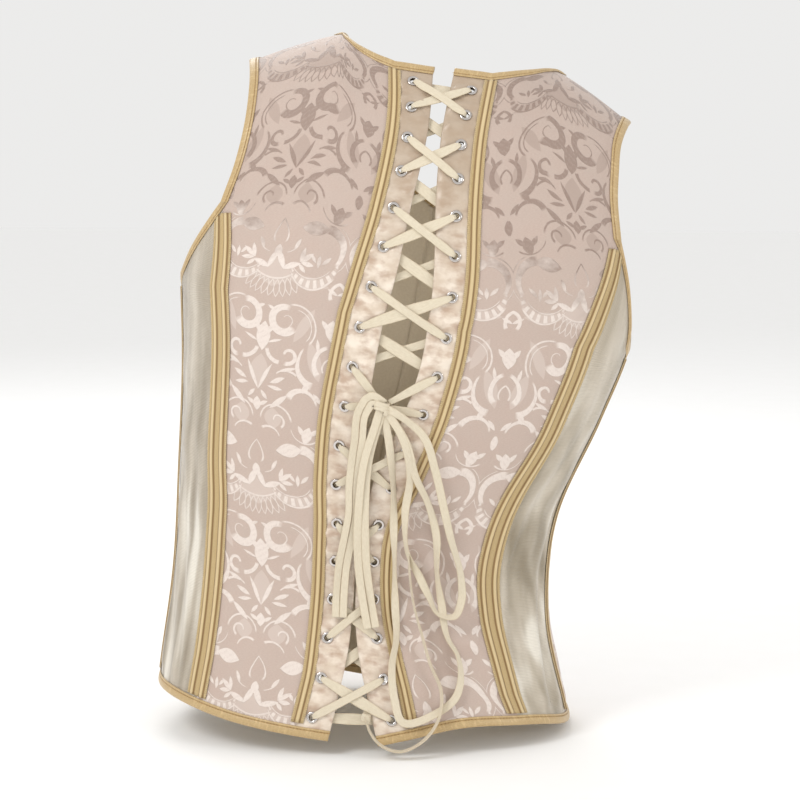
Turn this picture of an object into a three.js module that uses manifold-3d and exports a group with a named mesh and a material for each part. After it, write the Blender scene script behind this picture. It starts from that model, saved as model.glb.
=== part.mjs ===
// Boned waistcoat with a laced back, as worn: a hollow cloth shell, open at neck, armholes, hem and back.
// Millimetres, +Z up, the wearer's front towards -Y, the wearer's left towards +X.
// The origin lies between the shoulders, where the wearer carries it.
import * as THREE from 'three';
import { mergeVertices } from 'three/addons/utils/BufferGeometryUtils.js';
import Module from 'manifold-3d';

const wasm = await Module();
wasm.setup();

// Cloth and trim
const CLOTH = 1.6;
const SEAM_GAP = 0.3;
const TRIM_GAP = 0.58;
const BINDING_CLOTH = 0.8;
const BINDING_WIDTH = 6.5;
const TAPE_LIFT = 0.45;
const TAPE_EDGE = 1.15;
const TAPE_GROOVE = 0.85;
const BONE_TOP = 1.9;

// The body form: level 0 is the hem, 1 the underarm, 2 the shoulder ridge
const UNDERARM_HEIGHT = -188;
const TRUNK_HEIGHT = 311;
const RING_POWER = 2.4;
const YOKE_POWER = 2.6;
const SHOULDER_LEVEL = 2;

const table = (columns, rows) => rows.map((row) =>
  Object.fromEntries(columns.map((name, k) => [name, row[k]])));

// Where each ring's centre lies, how far it tips down to the wearer's right, and its half sizes
const SECTIONS = table(
  ['level', 'aside', 'ahead', 'tilt', 'half', 'back', 'front'], [
    [-0.15, 63, 1, 5.5, 167, 113, 116],
    [0.00, 63, 0, 6.0, 162, 108, 112],
    [0.30, 65, -4, 7.0, 148, 92, 106],
    [0.55, 59, -3, 7.8, 149, 101, 112],
    [0.80, 41, 0, 8.4, 163, 112, 120],
    [1.00, 30, 0, 9.0, 175, 117, 122],
    [1.50, 30, 0, 9.4, 174, 112, 116],
    [2.00, 30, 0, 9.8, 172, 100, 100],
  ]);

// Height of the shoulder ridge above the underarm ring, by the distance from the middle
const RIDGE = table(['across', 'height'], [[0, 204], [60, 204], [84, 197], [150, 165], [180, 148]]);

// Seams and eyelet rows, as degrees round each ring from the centre back, the wearer's left positive
const LEFT_SEAMS = table(
  ['level', 'opening', 'eyelets', 'back', 'side', 'front'], [
    [0.00, 6.6, 11.6, 16.0, 50.0, 86],
    [0.10, 3.3, 9.0, 12.7, 48.5, 83],
    [0.20, 0.8, 7.2, 11.2, 48.0, 82],
    [0.30, -0.3, 5.9, 10.4, 47.8, 82],
    [0.40, -0.6, 5.5, 10.3, 47.5, 82],
    [0.50, -1.0, 5.7, 10.7, 47.3, 83],
    [0.60, -0.8, 7.5, 12.2, 48.8, 84],
    [0.75, 2.6, 9.2, 14.1, 49.8, 84],
    [0.90, 3.4, 8.8, 13.5, 50.1, 84],
    [1.00, 2.9, 8.2, 12.6, 51.0, 84],
    [1.10, 2.4, 7.2, 11.7, 52.4, 84],
    [1.25, 1.7, 5.7, 9.8, 56.2, 84],
    [1.45, 0.2, 4.8, 8.8, 60.0, 84],
    [1.70, 2.0, 6.8, 12.0, 60.0, 84],
  ]);
const RIGHT_SEAMS = table(
  ['level', 'opening', 'eyelets', 'back', 'side', 'front'], [
    [0.00, -6.6, -11.2, -16.5, -52.0, -86],
    [0.10, -3.6, -9.4, -14.7, -49.5, -84],
    [0.20, -1.6, -7.7, -12.4, -47.5, -82],
    [0.30, -0.9, -6.5, -10.5, -45.0, -81],
    [0.40, -1.2, -5.9, -9.9, -43.7, -81],
    [0.50, -1.7, -6.4, -10.6, -44.9, -81],
    [0.60, -2.8, -8.2, -14.0, -47.2, -82],
    [0.75, -5.8, -10.6, -16.3, -51.2, -83],
    [0.90, -7.8, -12.7, -17.0, -52.4, -84],
    [1.00, -7.7, -12.6, -16.8, -52.9, -84],
    [1.10, -6.5, -11.3, -15.7, -54.0, -84],
    [1.25, -4.4, -9.4, -13.8, -57.3, -84],
    [1.45, -3.2, -8.2, -12.8, -60.0, -84],
    [1.70, -3.0, -8.2, -12.5, -60.0, -84],
  ]);

// The hem's level round the body: it dips at the opening and at the centre front
const HEM = table(['turn', 'level'], [
  [-180, -0.03], [-130, 0.00], [-90, 0.012], [-54, 0.042], [-28, 0.030], [-13, -0.008],
  [-6, -0.026], [6, -0.027], [30, -0.021], [60, -0.004], [90, 0.00], [130, 0.00], [180, -0.03]]);

// Armhole edges: from the side-back seam up to the shoulder, from that seam down to the side-front seam,
// from there forward and up, and on up to the shoulder again
const ARMHOLE_COLUMNS = ['turn', 'level'];
const LEFT_ARMHOLE = {
  up: table(ARMHOLE_COLUMNS, [
    [55.9, 1.238], [52.8, 1.353], [52.0, 1.495], [54.2, 1.674], [58.0, 1.860], [60.7, 2.0]]),
  under: table(ARMHOLE_COLUMNS, [[55.9, 1.238], [62.5, 1.165], [70.0, 1.09], [77.5, 1.02], [84.0, 0.985]]),
  forward: table(ARMHOLE_COLUMNS, [[84.0, 0.985], [93, 0.998], [104, 1.045], [115, 1.14], [123.5, 1.28], [127, 1.40]]),
  rise: table(ARMHOLE_COLUMNS, [[127, 1.40], [127.4, 1.55], [125.5, 1.70], [122.5, 1.85], [119.3, 2.0]]),
};
const RIGHT_ARMHOLE = {
  up: table(ARMHOLE_COLUMNS, [
    [-58.6, 1.330], [-55.9, 1.450], [-54.4, 1.562], [-53.6, 1.663], [-55.6, 1.871], [-56.8, 2.0]]),
  under: table(ARMHOLE_COLUMNS, [[-58.6, 1.33], [-63.5, 1.23], [-71.2, 1.093], [-78, 1.02], [-84.0, 0.985]]),
  forward: table(ARMHOLE_COLUMNS, [
    [-84.0, 0.985], [-93, 0.998], [-104, 1.045], [-115, 1.14], [-123.5, 1.28], [-127, 1.40]]),
  rise: table(ARMHOLE_COLUMNS, [[-127, 1.40], [-128, 1.55], [-127, 1.70], [-125, 1.85], [-123.2, 2.0]]),
};

// Neckline from the lacing edge out to the neck point, behind and in front
const LEFT_NECK = {
  back: table(ARMHOLE_COLUMNS, [[1.9, 1.715], [11.8, 1.700], [17.2, 1.726], [22.4, 1.783], [27.0, 1.890], [29.2, 2.0]]),
  front: table(ARMHOLE_COLUMNS, [[150.8, 2.0], [153.5, 1.78], [159, 1.52], [168, 1.32], [180, 1.246]]),
};
const RIGHT_NECK = {
  back: table(ARMHOLE_COLUMNS, [
    [-3.0, 1.726], [-12.4, 1.722], [-17.0, 1.755], [-21.5, 1.805], [-26.9, 1.917], [-29.3, 2.0]]),
  front: table(ARMHOLE_COLUMNS, [[-150.7, 2.0], [-153.5, 1.78], [-159, 1.52], [-168, 1.32], [-180, 1.246]]),
};

const SIDES = [
  { name: 'left', sign: 1, seams: LEFT_SEAMS, armhole: LEFT_ARMHOLE, neck: LEFT_NECK, lowEyelet: 0.020 },
  { name: 'right', sign: -1, seams: RIGHT_SEAMS, armhole: RIGHT_ARMHOLE, neck: RIGHT_NECK, lowEyelet: 0.036 },
];

// Levels of the panels' rows: closer together in the hollow of the waist
const HEM_ROW = 0.03;
const TRUNK_LEVELS = [0.11, 0.195, 0.275, 0.35, 0.43, 0.52, 0.62, 0.73, 0.84, 0.94];
// Shares of the way from the last trunk level to the armhole seam, and from there to the shoulder
const UNDERARM_STEPS = [0, 0.27, 0.54, 0.8, 1];
const YOKE_STEPS = [0, 0.18, 0.36, 0.54, 0.73, 0.925, 1];
const UNDERARM_SHARE = 0.38;
// Shares of the way across each panel, closer together beside a bound edge
const STRIP_ACROSS = [0, 0.5, 1];
const NECK_ACROSS = [0, 0.32, 0.66, 1];
const SHOULDER_ACROSS = [0, 0.4, 0.9, 1];
const SIDE_ACROSS = [0, 0.14, 0.32, 0.52, 0.76, 1];
const UNDER_ACROSS = [0, 0.3, 0.64, 1];
const FRONT_NECK_ACROSS = [0, 0.08, 0.2, 0.38, 0.64, 1];
const NECK_SHARE = 0.42;

// Eyelets and lace
const PAIRS = 18;
const TOP_EYELET = 1.637;
const EYELET_SEGMENTS = 8;
const HOLE_RADIUS = 3.0;
const BARREL_RADIUS = 2.6;
const BARREL_END = 0.2;
const BORE_RADIUS = 2.3;
const FLANGE_RADIUS = 4.3;
const FLANGE_RISE = 0.62;
const FLANGE_TOP = 1.2;
const LACE_WIDTH = 6;
const LACE_AT_HOLE = 3;
const LACE_THICK = 0.9;
const LACE_OUTSIDE = 2.0;
const LACE_INSIDE = -3.1;
const CROSSING_LIFT = 1.4;
const STRAND_END = 8;
const UPPER_PAIRS = 9;
const KNOT = { turn: -0.5, level: 0.798, height: 6.2 };
const KNOT_RADII = [7, 4, 5.5];
const KNOT_CLEAR = 8.2;
const LACE_AT_KNOT = 3.6;
const KNOT_SEGMENTS = [10, 6];
const HANG_STEP = 22;
const STUB_HEIGHT = 3;
const SMALL_KNOT = 4.2;

// The tied ends of the laces: how they hang from the knot over the back, at heights above the cloth
const HANG = ['turn', 'level', 'height'];
const PAIRED_TAIL = table(HANG, [
  [-0.5, 0.80, 6.2], [2.4, 0.812, 6.6], [4.1, 0.785, 6.0], [3.6, 0.704, 5.3], [2.4, 0.60, 5.2], [1.3, 0.527, 5.2],
  [1.9, 0.465, 5.2], [2.9, 0.401, 5.2], [3.4, 0.325, 5.2], [3.5, 0.264, 5.2]]);
const SINGLE_TAIL = table(HANG, [
  [-0.5, 0.80, 6.2], [0.0, 0.745, 6.6], [0.3, 0.683, 6.6], [-1.1, 0.557, 6.6], [-3.2, 0.383, 6.6], [-5.9, 0.248, 6.4]]);
const LONG_LOOP = table(HANG, [
  [-0.5, 0.80, 6.2], [-5.5, 0.691, 5.4], [-8.5, 0.617, 5.2], [-11.5, 0.471, 5.2], [-12.7, 0.318, 5.2],
  [-12.9, 0.226, 5.2], [-11.4, 0.166, 5.2], [-11.5, 0.089, 5.2], [-13.4, 0.035, 5.4], [-22.7, 0.060, 5.6],
  [-29.0, 0.100, 6.0], [-31.0, 0.205, 6.4], [-28.7, 0.238, 6.5], [-26.7, 0.330, 6.5], [-25.0, 0.405, 6.5],
  [-23.5, 0.509, 6.5], [-19.7, 0.579, 6.5], [-13.6, 0.649, 6.8], [-9.0, 0.721, 7.0], [-0.5, 0.80, 6.2]]);
const WIDE_LOOP = table(HANG, [
  [-0.5, 0.80, 6.2], [-5.8, 0.784, 8.4], [-12.2, 0.750, 8.2], [-18.7, 0.667, 8.0], [-27.6, 0.512, 8.0],
  [-32.7, 0.397, 8.0], [-32.9, 0.340, 7.8], [-30.6, 0.300, 7.8], [-26.1, 0.302, 7.8], [-22.4, 0.352, 7.8],
  [-19.4, 0.400, 7.8], [-15.9, 0.450, 7.8], [-13.6, 0.545, 7.8], [-12.4, 0.645, 8.2], [-7.5, 0.735, 8.0],
  [-0.5, 0.80, 6.2]]);
const SLACK_END = table(HANG, [
  [-15.9, 0.45, 7.8], [-18.2, 0.32, 7.8], [-20.5, 0.244, 8.0], [-22.4, 0.174, 8.0], [-24.8, 0.115, 8.0],
  [-23.1, 0.044, 8.2], [-17.6, -0.012, 8.0], [-12.4, -0.034, 7.0], [-7.0, -0.02, 6.2], [-4.4, 0.01, 5.2],
  [-3.6, 0.036, 2.4]]);

const rad = THREE.MathUtils.degToRad;
const lerp = THREE.MathUtils.lerp;
const clamp = THREE.MathUtils.clamp;

// Smooth reading of one column of a table, with a tangent at each row from its neighbours
function read(rows, key, column, at) {
  const last = rows.length - 1;
  const x = clamp(at, rows[0][key], rows[last][key]);
  let k = 0;
  while (k < last - 1 && x >= rows[k + 1][key]) k += 1;
  const slope = (i) => {
    if (i === 0) return (rows[1][column] - rows[0][column]) / (rows[1][key] - rows[0][key]);
    if (i === last) return (rows[last][column] - rows[last - 1][column]) / (rows[last][key] - rows[last - 1][key]);
    const before = rows[i][key] - rows[i - 1][key];
    const after = rows[i + 1][key] - rows[i][key];
    return (before ** 2 * (rows[i + 1][column] - rows[i][column]) + after ** 2 * (rows[i][column] - rows[i - 1][column]))
      / (before * after * (before + after));
  };
  const step = rows[k + 1][key] - rows[k][key];
  const u = (x - rows[k][key]) / step;
  return (2 * u ** 3 - 3 * u ** 2 + 1) * rows[k][column] + (u ** 3 - 2 * u ** 2 + u) * step * slope(k)
    + (3 * u ** 2 - 2 * u ** 3) * rows[k + 1][column] + (u ** 3 - u ** 2) * step * slope(k + 1);
}

// The outer face of the cloth at a turn round the body and a level up it
function form(turn, level) {
  const s = Math.min(level, SHOULDER_LEVEL);
  const at = (column) => read(SECTIONS, 'level', column, s);
  const sine = Math.sin(rad(turn));
  const behind = Math.cos(rad(turn)) >= 0;
  const across = at('half') * sine;
  const rise = Math.sin(rad(90 * clamp(s - 1, 0, 1)));
  const depth = Math.max(0, 1 - Math.abs(sine) ** RING_POWER) ** (1 / RING_POWER)
    * Math.max(0, 1 - rise ** YOKE_POWER) ** (1 / YOKE_POWER) * (behind ? at('back') : -at('front'));
  const up = rise * read(RIDGE, 'across', 'height', Math.abs(across));
  const tilt = rad(at('tilt'));
  return new THREE.Vector3(
    at('aside') + across * Math.cos(tilt) - up * Math.sin(tilt),
    at('ahead') + depth,
    UNDERARM_HEIGHT - TRUNK_HEIGHT * Math.max(0, 1 - s) + across * Math.sin(tilt) + up * Math.cos(tilt));
}

const TURN_STEP = 0.6;
const LEVEL_STEP = 0.012;
function slopes(turn, level) {
  const s = Math.min(level, SHOULDER_LEVEL - LEVEL_STEP);
  const byTurn = form(turn + TURN_STEP, level).sub(form(turn - TURN_STEP, level)).divideScalar(2 * TURN_STEP);
  const byLevel = form(turn, s + LEVEL_STEP).sub(form(turn, s - LEVEL_STEP)).divideScalar(2 * LEVEL_STEP);
  return { byTurn, byLevel };
}
function normal(turn, level) {
  const { byTurn, byLevel } = slopes(turn, level);
  return byLevel.cross(byTurn).normalize();
}
// A point at a height above the form, or below it
function above(turn, level, height) {
  return form(turn, level).addScaledVector(normal(turn, level), height);
}
// The turn that lies a distance to the wearer's left along the ring
const aside = (turn, level, distance) => turn + distance / slopes(turn, level).byTurn.length();

// A closed body from vertices and triangles, turned so that its faces point out
function body(points, triangles) {
  let volume = 0;
  const cross = new THREE.Vector3();
  for (const [a, b, c] of triangles) volume += points[a].dot(cross.crossVectors(points[b], points[c]));
  const wound = volume > 0 ? triangles : triangles.map(([a, b, c]) => [a, c, b]);
  const geometry = new THREE.BufferGeometry();
  geometry.setAttribute('position', new THREE.Float32BufferAttribute(points.flatMap((p) => [p.x, p.y, p.z]), 3));
  geometry.setIndex(wound.flat());
  return geometry;
}

// A wall from sheets of [outer, inner] points: sheets share the points they have in common
function wall(sheets) {
  const outer = [];
  const inner = [];
  const known = new Map();
  const number = ([out, into]) => {
    const key = out.toArray().map((v) => v.toFixed(3)).join();
    if (!known.has(key)) known.set(key, outer.push(out) - 1), inner.push(into);
    return known.get(key);
  };
  const faces = [];
  for (const { rows, flip } of sheets) {
    const ids = rows.map((row) => row.map(number));
    for (let j = 0; j + 1 < rows.length; j += 1) {
      for (let i = 0; i + 1 < rows[0].length; i += 1) {
        const [a, b, c, d] = [ids[j][i], ids[j][i + 1], ids[j + 1][i + 1], ids[j + 1][i]];
        faces.push(...(flip ? [[a, b, d], [b, c, d]] : [[a, b, c], [a, c, d]]));
      }
    }
  }
  const half = outer.length;
  const sides = new Map();
  for (const face of faces) {
    face.forEach((from, k) => {
      const to = face[(k + 1) % 3];
      if (!sides.delete(`${to},${from}`)) sides.set(`${from},${to}`, [from, to]);
    });
  }
  const triangles = [...faces, ...faces.map(([a, b, c]) => [half + a, half + c, half + b])];
  for (const [from, to] of sides.values()) {
    triangles.push([from, half + from, half + to], [from, half + to, to]);
  }
  return body([...outer, ...inner], triangles);
}

// A body swept through rows of points, each the same outline, with capped ends or joined to itself.
// Steps marked as turned split their faces along the other diagonal
function sweep(rows, outline, { joined = false, turned = [] } = {}) {
  const points = rows.flat();
  const count = outline.length;
  const triangles = [];
  const steps = joined ? rows.length : rows.length - 1;
  for (let j = 0; j < steps; j += 1) {
    const next = (j + 1) % rows.length;
    for (let i = 0; i < count; i += 1) {
      const beside = (i + 1) % count;
      const [a, b, c, d] = [j * count + i, j * count + beside, next * count + beside, next * count + i];
      triangles.push(...(turned[j] ? [[a, b, d], [b, c, d]] : [[a, b, c], [a, c, d]]));
    }
  }
  if (!joined) {
    const flat = outline.map(([x, y]) => new THREE.Vector2(x, y));
    const end = (rows.length - 1) * count;
    const turned = THREE.ShapeUtils.area(flat) > 0;
    for (const [a, b, c] of THREE.ShapeUtils.triangulateShape(flat, [])) {
      const near = turned ? [a, c, b] : [a, b, c];
      triangles.push(near, [near[0] + end, near[2] + end, near[1] + end]);
    }
  }
  return body(points, triangles);
}

// Points at given shares of the way along a curve given by a few rows of turn and level
function spread(rows, shares) {
  const spots = rows.map(({ turn, level }) => form(turn, level));
  const along = [0];
  for (let k = 1; k < rows.length; k += 1) along.push(along[k - 1] + spots[k].distanceTo(spots[k - 1]));
  const keyed = rows.map((row, k) => ({ ...row, along: along[k] }));
  return shares.map((share) => {
    const at = along[along.length - 1] * share;
    return [read(keyed, 'along', 'turn', at), read(keyed, 'along', 'level', at)];
  });
}

const wrapped = (turn) => (turn > 180 ? turn - 360 : turn < -180 ? turn + 360 : turn);
const hemLevel = (turn) => read(HEM, 'turn', 'level', wrapped(turn));
const seamTurn = (side, name, level) => read(side.seams, 'level', name, level);

// A seam's points from the hem up to the last trunk level
function trunkSeam(turnAt) {
  const low = hemLevel(turnAt(0));
  const levels = [low, low + HEM_ROW, ...TRUNK_LEVELS];
  return levels.map((level) => [turnAt(level), level]);
}
const seamAt = (side, name) => (level) => seamTurn(side, name, level);
const frontSeamAt = (side) => () => 180 * side.sign;

// A curved patch between four edges, each a list of [turn, level] at the shares given across and up
function patch(inner, outer, low, high, across, up) {
  const last = across.length - 1;
  const off = (edge, i, k) => edge[i][k] - lerp(edge[0][k], edge[last][k], across[i]);
  return up.map((w, j) => across.map((u, i) => [0, 1].map((k) =>
    lerp(inner[j][k], outer[j][k], u) + (1 - w ** 2) * off(low, i, k) + w ** 2 * off(high, i, k))));
}
// The trunk part of a panel: its rows lie level
function trunkRows(inner, outer, across) {
  return inner.map((from, j) => across.map((u) => {
    const turn = lerp(from[0], outer[j][0], u);
    const low = hemLevel(turn);
    return [turn, j === 0 ? low : j === 1 ? low + HEM_ROW : from[1]];
  }));
}
const levelRow = (from, to, across) => across.map((u) => [lerp(from[0], to[0], u), lerp(from[1], to[1], u)]);
const line = (turnAt, from, to, shares) => shares.map((share) => {
  const level = lerp(from, to, share);
  return [turnAt(level), level];
});
// Two lists of shares as one, the first taking the given part of the way
const joinShares = (first, second, part) => [
  ...first.map((share) => share * part), ...second.slice(1).map((share) => part + share * (1 - part))];
const YOKE_UP = joinShares(UNDERARM_STEPS, YOKE_STEPS, UNDERARM_SHARE);
const BACK_ACROSS = joinShares(NECK_ACROSS, SHOULDER_ACROSS, NECK_SHARE);
const reversed = (shares) => shares.map((share) => 1 - share).reverse();
const FRONT_ACROSS = joinShares(reversed(SHOULDER_ACROSS), FRONT_NECK_ACROSS, NECK_SHARE);

// Cloth from grids of [turn, level]: seam edges stand back by half the seam gap, and so does the shoulder
function cloth(parts) {
  return wall(parts.map(({ grid, inner, outer, flip }) => {
    const last = grid[0].length - 1;
    const rows = grid.map((row) => row.map(([turn, level], i) => {
      const toward = Math.sign(row[last][0] - row[0][0]) * SEAM_GAP / 2;
      const shift = i === 0 && inner ? toward : i === last && outer ? -toward : 0;
      const at = shift ? aside(turn, level, shift) : turn;
      return [0, -CLOTH].map((height) => {
        const point = above(at, level, height);
        if (level >= SHOULDER_LEVEL) point.y += SEAM_GAP / 2 * Math.sign(Math.cos(rad(turn)));
        return point;
      });
    }));
    return { rows, flip };
  }));
}

// The pieces' grids, one set for each side
function grids(side) {
  const opening = trunkSeam(seamAt(side, 'opening'));
  const back = trunkSeam(seamAt(side, 'back'));
  const sideSeam = trunkSeam(seamAt(side, 'side'));
  const front = trunkSeam(seamAt(side, 'front'));
  const centre = trunkSeam(frontSeamAt(side));
  const top = TRUNK_LEVELS[TRUNK_LEVELS.length - 1];
  const crossing = side.armhole.up[0];
  const neck = side.neck.back;
  const seamTop = neck[1];

  const endAt = (rows, { turn, level }) => [...rows.slice(0, -1), [turn, level]];
  const openingUp = endAt(line(seamAt(side, 'opening'), top, neck[0].level, YOKE_UP), neck[0]);
  const backUp = endAt(line(seamAt(side, 'back'), top, seamTop.level, YOKE_UP), seamTop);
  const sideUp = endAt(line(seamAt(side, 'side'), top, crossing.level, UNDERARM_STEPS), crossing);
  const outerUp = [...sideUp, ...spread(side.armhole.up, YOKE_STEPS).slice(1)];

  const lastOf = (rows) => rows[rows.length - 1];
  const shoulderBack = spread([lastOf(neck), lastOf(side.armhole.up)], SHOULDER_ACROSS);
  const backTop = [...spread(neck.slice(1), NECK_ACROSS), ...shoulderBack.slice(1)];
  const stripTop = spread(neck.slice(0, 2), STRIP_ACROSS);

  const under = spread(side.armhole.under, SIDE_ACROSS);
  const { forward, rise } = side.armhole;
  const frontUp = line(seamAt(side, 'front'), top, forward[0].level, UNDERARM_STEPS);
  const breastAt = () => rise[0].turn;
  const breast = trunkSeam(breastAt);
  const breastUp = line(breastAt, top, rise[0].level, UNDERARM_STEPS);
  const breastOuter = [...breastUp, ...spread(rise, YOKE_STEPS).slice(1)];
  const centreUp = line(frontSeamAt(side), top, lastOf(side.neck.front).level, YOKE_UP);
  const shoulderFront = spread([lastOf(side.armhole.rise), side.neck.front[0]], reversed(SHOULDER_ACROSS));
  const frontTop = [...shoulderFront, ...spread(side.neck.front, FRONT_NECK_ACROSS).slice(1)];

  const panel = (lowInner, lowOuter, upInner, upOuter, high, across, up) => [
    ...trunkRows(lowInner, lowOuter, across),
    ...patch(upInner, upOuter, levelRow(lastOf(lowInner), lastOf(lowOuter), across), high, across, up).slice(1)];
  return {
    strip: panel(opening, back, openingUp, backUp, stripTop, STRIP_ACROSS, YOKE_UP),
    back: panel(back, sideSeam, backUp, outerUp, backTop, BACK_ACROSS, YOKE_UP),
    side: panel(sideSeam, front, sideUp, frontUp, under, SIDE_ACROSS, UNDERARM_STEPS),
    under: panel(front, breast, frontUp, breastUp, spread(forward, UNDER_ACROSS), UNDER_ACROSS, UNDERARM_STEPS),
    front: panel(breast, centre, breastOuter, centreUp, frontTop, FRONT_ACROSS, YOKE_UP),
  };
}

const model = new THREE.Group();
function add(name, geometry, look) {
  const mesh = new THREE.Mesh(geometry, new THREE.MeshStandardMaterial(look));
  mesh.name = name;
  model.add(mesh);
}

const BROCADE = { color: 0xd8c6b8, roughness: 0.5, metalness: 0 };
const SATIN = { color: 0xe6dac4, roughness: 0.3, metalness: 0 };
const GOLD_SATIN = { color: 0xd2b47c, roughness: 0.35, metalness: 0 };
const STEEL = { color: 0xc9c6c2, roughness: 0.2, metalness: 1 };
const RIBBON = { color: 0xece0c8, roughness: 0.4, metalness: 0 };

// Solids for cutting
function solid(geometry) {
  const plain = geometry.clone();
  plain.deleteAttribute('normal');
  plain.deleteAttribute('uv');
  const merged = mergeVertices(plain, 1e-4);
  return new wasm.Manifold(new wasm.Mesh({
    numProp: 3,
    vertProperties: new Float32Array(merged.attributes.position.array),
    triVerts: new Uint32Array(merged.index.array),
  }));
}
function geometryOf(manifold) {
  const mesh = manifold.getMesh();
  const geometry = new THREE.BufferGeometry();
  geometry.setAttribute('position', new THREE.BufferAttribute(new Float32Array(mesh.vertProperties), 3));
  geometry.setIndex(new THREE.BufferAttribute(new Uint32Array(mesh.triVerts), 1));
  return geometry;
}

// Eyelet places: pair 1 is at the neck
function eyelet(side, pair) {
  const level = lerp(TOP_EYELET, side.lowEyelet, (pair - 1) / (PAIRS - 1));
  const turn = seamTurn(side, 'eyelets', level);
  return { side, pair, turn, level };
}
function standAt(geometry, { turn, level }) {
  const facing = new THREE.Quaternion().setFromUnitVectors(new THREE.Vector3(0, 1, 0), normal(turn, level));
  return geometry.applyQuaternion(facing).translate(...form(turn, level).toArray());
}
const pairs = Array.from({ length: PAIRS }, (_, k) => k + 1);

function eyeletRing() {
  const outline = [
    [BORE_RADIUS, -CLOTH - BARREL_END], [BARREL_RADIUS, FLANGE_RISE],
    [FLANGE_RADIUS, FLANGE_RISE], [BORE_RADIUS, FLANGE_TOP]];
  const closed = [...outline, outline[0]].map(([r, y]) => new THREE.Vector2(r, y));
  return new THREE.LatheGeometry(closed, EYELET_SEGMENTS);
}

// Panels
const pieces = Object.fromEntries(SIDES.map((side) => [side.name, grids(side)]));
for (const side of SIDES) {
  const grid = pieces[side.name];
  let strip = solid(cloth([{ grid: grid.strip, outer: true }]));
  for (const pair of pairs) {
    const cutter = new THREE.CylinderGeometry(HOLE_RADIUS, HOLE_RADIUS, 4 * CLOTH, EYELET_SEGMENTS);
    strip = strip.subtract(solid(standAt(cutter, eyelet(side, pair))));
  }
  add(`lacing_strip_${side.name}`, geometryOf(strip), SATIN);
  add(`back_panel_${side.name}`, cloth([{ grid: grid.back, inner: true, outer: true }]), BROCADE);
  add(`side_panel_${side.name}`, cloth([{ grid: grid.side, inner: true, outer: true }]), SATIN);
  add(`front_panel_${side.name}`, cloth([
    { grid: grid.under, inner: true, flip: true }, { grid: grid.front, outer: true, flip: true }]), BROCADE);
}

// Eyelets
for (const side of SIDES) {
  for (const pair of pairs) {
    add(`eyelet_${side.name}_${pair}`, standAt(eyeletRing(), eyelet(side, pair)), STEEL);
  }
}

// Boning tapes: outlines of distance across the seam and height above the cloth
const SINGLE_TAPE = [
  [-4.8, TAPE_LIFT], [0, TAPE_LIFT], [4.8, TAPE_LIFT], [4.4, TAPE_EDGE], [2.7, TAPE_GROOVE], [1.5, BONE_TOP],
  [-1.5, BONE_TOP], [-2.7, TAPE_GROOVE], [-4.4, TAPE_EDGE]];
const DOUBLE_TAPE = [
  [-9.5, TAPE_LIFT], [-4.75, TAPE_LIFT], [0, TAPE_LIFT], [4.75, TAPE_LIFT], [9.5, TAPE_LIFT],
  [9.1, TAPE_EDGE], [7.3, TAPE_GROOVE], [6.1, BONE_TOP], [3.4, BONE_TOP], [2.2, TAPE_GROOVE], [0, TAPE_EDGE],
  [-2.2, TAPE_GROOVE], [-3.4, BONE_TOP], [-6.1, BONE_TOP], [-7.3, TAPE_GROOVE], [-9.1, TAPE_EDGE]];

// The point a distance from the first of a chain of [turn, level], along the cloth's faces, at a height
function along(chain, distance, height) {
  const points = chain.map(([turn, level]) => above(turn, level, height));
  let left = distance;
  for (let k = 1; k < points.length; k += 1) {
    const step = points[k].distanceTo(points[k - 1]);
    if (left <= step || k === points.length - 1) return points[k - 1].clone().lerp(points[k], left / step);
    left -= step;
  }
  return points[0];
}

// A tape along a seam, from the rows of the panels on both sides of it, each row starting at the seam
function tape(innerRows, outerRows, outline) {
  return sweep(innerRows.map((inner, j) => outline.map(([offset, height]) =>
    along(offset < 0 ? inner : outerRows[j], Math.abs(offset), height))), outline);
}
const lastTrunk = 1 + TRUNK_LEVELS.length;
const crossing = lastTrunk + UNDERARM_STEPS.length - 1;
const neckRow = lastTrunk + YOKE_UP.length - 1;
const fromSeam = (grid, atEnd, first, last) => grid.slice(first, last + 1).map((row) =>
  (atEnd ? [...row].reverse() : row));
for (const side of SIDES) {
  const grid = pieces[side.name];
  add(`back_tape_${side.name}`, tape(fromSeam(grid.strip, true, 1, neckRow - 1),
    fromSeam(grid.back, false, 1, neckRow - 1), SINGLE_TAPE), GOLD_SATIN);
  add(`side_back_tape_${side.name}`, tape(fromSeam(grid.back, true, 1, crossing - 1),
    fromSeam(grid.side, false, 1, crossing - 1), DOUBLE_TAPE), GOLD_SATIN);
  add(`side_front_tape_${side.name}`, tape(fromSeam(grid.side, true, 1, lastTrunk),
    fromSeam(grid.under, false, 1, lastTrunk), SINGLE_TAPE), GOLD_SATIN);
}
add('front_tape', tape(fromSeam(pieces.left.front, true, 1, neckRow - 2),
  fromSeam(pieces.right.front, true, 1, neckRow - 2), SINGLE_TAPE), GOLD_SATIN);

// Bindings: cloth folded round an edge, from an outline of distance in from the edge and height
const FOLD = TRIM_GAP + BINDING_CLOTH;
const BINDING = [
  [BINDING_WIDTH, TRIM_GAP], [BINDING_WIDTH, FOLD], [-FOLD, FOLD], [-FOLD, -CLOTH - FOLD],
  [BINDING_WIDTH, -CLOTH - FOLD], [BINDING_WIDTH, -CLOTH - TRIM_GAP], [-TRIM_GAP, -CLOTH - TRIM_GAP],
  [-TRIM_GAP, TRIM_GAP]];
// Each edge point comes with the chain of points that leads from it into the panel
function binding(chains, steps) {
  return sweep(chains.map(({ chain, shift = 0 }) => BINDING.map(([distance, height]) => {
    const point = distance > 0 ? along(chain, distance, height)
      : above(...chain[0], height).addScaledVector(along(chain, 1, 0).sub(form(...chain[0])), distance);
    return point.add(new THREE.Vector3(0, shift, 0));
  })), BINDING, steps);
}

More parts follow.
